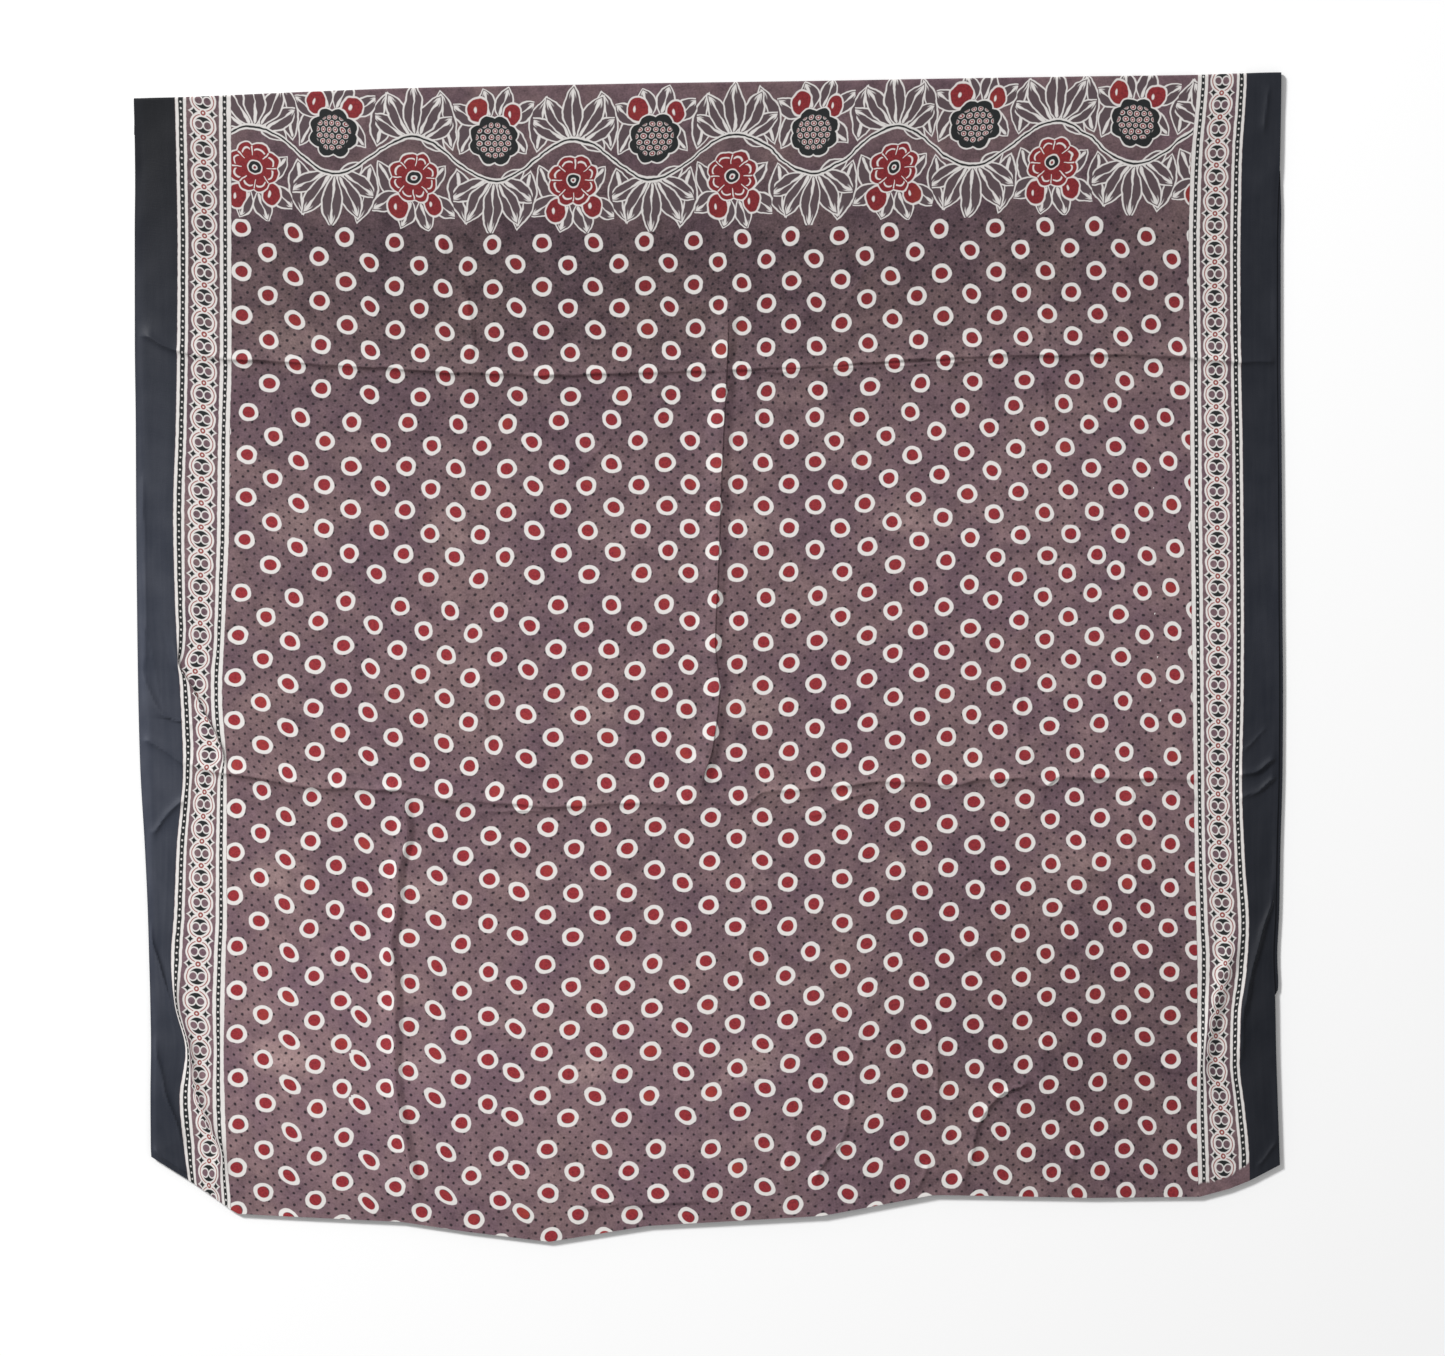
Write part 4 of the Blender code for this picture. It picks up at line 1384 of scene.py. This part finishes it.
def zone_of(across):
    """Which of navy, border and field a place across the cloth is in."""
    from_edge = np.minimum(across, CLOTH_WIDTH - across)
    return (from_edge > EDGE_BAND).astype(int) + (from_edge > EDGE_BAND + BORDER)


def declare(piece, node, flat):
    """Attach a sheet of cloth to the root and hide the part of the frame it stands for."""
    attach(piece, "root")
    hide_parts(node)


def hidden_point(across, run):
    """A point of the hidden cloth. A whole run is one layer, and ends with the turn into the next."""
    layer = np.minimum(np.floor(run), HIDDEN_LAYERS - 1)
    share = run - layer
    flat = np.minimum(share / HIDDEN_FLAT_SHARE, 1.0)
    turn = np.clip((share - HIDDEN_FLAT_SHARE) / HIDDEN_TURN_SHARE, 0.0, 1.0) * math.pi
    back = layer % 2
    fold, *_, end = marks(across)
    start, stop = fold + HIDDEN_TOP, end - HIDDEN_END
    down = start + (stop - start) * (back + (1 - 2 * back) * flat)
    x, y = place(across, down)
    top = settled(across, down) - 2 * LAYER_PITCH + HIDDEN_LIFT
    pitch = top / (HIDDEN_LAYERS + HIDDEN_LIFT)
    bulge = pitch / 2
    y = y - (1 - 2 * back) * bulge * np.sin(turn)
    z = top - pitch * layer - bulge * (1 - np.cos(turn))
    return np.stack((x, y, z), axis=-1)


def front_under(across, row):
    """The underside of the front layer, which has none of its creases."""
    return front_point(across, row, raised=False)


def halves(across):
    """The stations of the left and right half of a wide piece."""
    middle = len(across) // 2
    return ("left", across[:middle + 1]), ("right", across[middle:])


def build_front():
    """The sheets of the front layer. Gives back the cloths that the lower layers share."""
    field, border, pallu, navy = field_cloth(), border_cloth(), pallu_cloth(), selvage_cloth()
    front = (front_point, front_under)
    left_print, left_field, right_field, right_print = ZONES[1:5]
    wide_pieces = (
        ("pallu_end", "pallu_band", "pallu_cloth", -1, 1, PALLU_END - FOLD_DOWN + UNDER_LENGTH, pallu),
        ("field_upper", "field", "field_cloth", 1, 2, UPPER_CREASE - PALLU_END, field),
        ("field_middle", "field", "field_cloth", 2, 3, LOWER_CREASE - UPPER_CREASE, field),
        ("field_lower", "field", "field_cloth", 3, 4, CLOTH_DOWN - LOWER_CREASE, field),
    )
    across = spread(left_field, right_field, STEP, FINE_ACROSS)
    for name, node, slot, first, last, length, material in wide_pieces:
        rows = rows_between(first, last)
        for side, places in halves(across):
            piece = cloth_shell(f"{name}_{side}", front, places, rows, front_uv, [material],
                                blocks=material is field)
            declare(piece, node, ((places[-1] - places[0]) * MM, length * MM))
    whole = CLOTH_DOWN - FOLD_DOWN + UNDER_LENGTH
    sides = (
        ("left_border", "border_left", left_print, left_field, border, "border_cloth"),
        ("right_border", "border_right", right_field, right_print, border, "border_cloth"),
        ("left_selvage", "edge_band_left", 0.0, left_print, navy, "selvage_cloth"),
        ("right_selvage", "edge_band_right", right_print, CLOTH_WIDTH, navy, "selvage_cloth"),
    )
    for name, node, start, end, material, slot in sides:
        places = spread(start, end, STEP)
        piece = cloth_shell(name, front, places, rows_between(-1, 4), front_uv, [material], segments=5)
        declare(piece, node, ((end - start) * MM, whole * MM))
    return [navy, border, field]


def build_hidden(materials):
    """The second layer and the hidden cloth under it."""
    second_step, share_step = SECOND_STEPS
    second_across = spread(SECOND_SIDE, CLOTH_WIDTH, second_step)
    shares = spread(0.0, SECOND_LENGTH, share_step) / SECOND_LENGTH
    hidden_across = spread(HIDDEN_SIDE, CLOTH_WIDTH - HIDDEN_SIDE, HIDDEN_STEP)
    runs = []
    for layer in range(HIDDEN_LAYERS):
        runs.append(layer + np.linspace(0.0, HIDDEN_FLAT_SHARE, HIDDEN_ROWS, endpoint=False))
        runs.append(layer + np.linspace(HIDDEN_FLAT_SHARE, 1.0, HIDDEN_TURN_STEPS, endpoint=False))
    runs = np.concatenate(runs)
    runs = runs[runs <= HIDDEN_LAYERS - HIDDEN_TURN_SHARE]
    layers = (
        ("second_cloth", "second_layer", second_point, second_across, shares, second_uv, SECOND_FLAT),
        ("hidden_cloth", "inner_layers", hidden_point, hidden_across, runs, hidden_uv, HIDDEN_FLAT),
    )
    for name, node, point, across, rows, cloth_uv, flat in layers:
        piece = cloth_shell(name, (point, point), across, rows, cloth_uv, materials, zone_of, gap=1,
                            blocks=True)
        declare(piece, node, flat)


def build_room():
    """A pale floor, soft light from the upper left and a camera straight above."""
    scene = bpy.context.scene
    floor_mesh = bpy.data.meshes.new("floor")
    corners = [(x * FLOOR_REACH, y * FLOOR_REACH, 0) for x, y in ((-1, -1), (1, -1), (1, 1), (-1, 1))]
    floor_mesh.from_pydata(corners, [], [(0, 1, 2, 3)])
    material = bpy.data.materials.new("floor")
    material.use_nodes = True
    shader = material.node_tree.nodes["Principled BSDF"]
    shader.inputs["Base Color"].default_value = (*FLOOR_WHITE, 1.0)
    shader.inputs["Roughness"].default_value = FLOOR_ROUGHNESS
    floor_mesh.materials.append(material)
    add_object("floor", floor_mesh)

    world = bpy.data.worlds.new("studio")
    world.use_nodes = True
    background = world.node_tree.nodes["Background"]
    background.inputs["Color"].default_value = (1.0, 1.0, 1.0, 1.0)
    background.inputs["Strength"].default_value = WORLD_LIGHT
    scene.world = world

    key = bpy.data.lights.new("key", "AREA")
    key.shape = "SQUARE"
    key.size = KEY_SIZE
    key.energy = KEY_POWER
    key_object = add_object("key", key)
    key_object.location = KEY_PLACE
    key_object.rotation_euler = (-key_object.location).to_track_quat("-Z", "Y").to_euler()

    camera = bpy.data.cameras.new("camera")
    camera.sensor_width = SENSOR
    camera.lens = SENSOR * (CAMERA_HEIGHT - FRONT_HEIGHT) / FRAME_WIDTH
    scene.camera = add_object("camera", camera)
    scene.camera.location = (CAMERA_MIDDLE[0] * MM, CAMERA_MIDDLE[1] * MM, CAMERA_HEIGHT * MM)
    scene.view_settings.view_transform = "Standard"


build_hidden(build_front())
build_room()
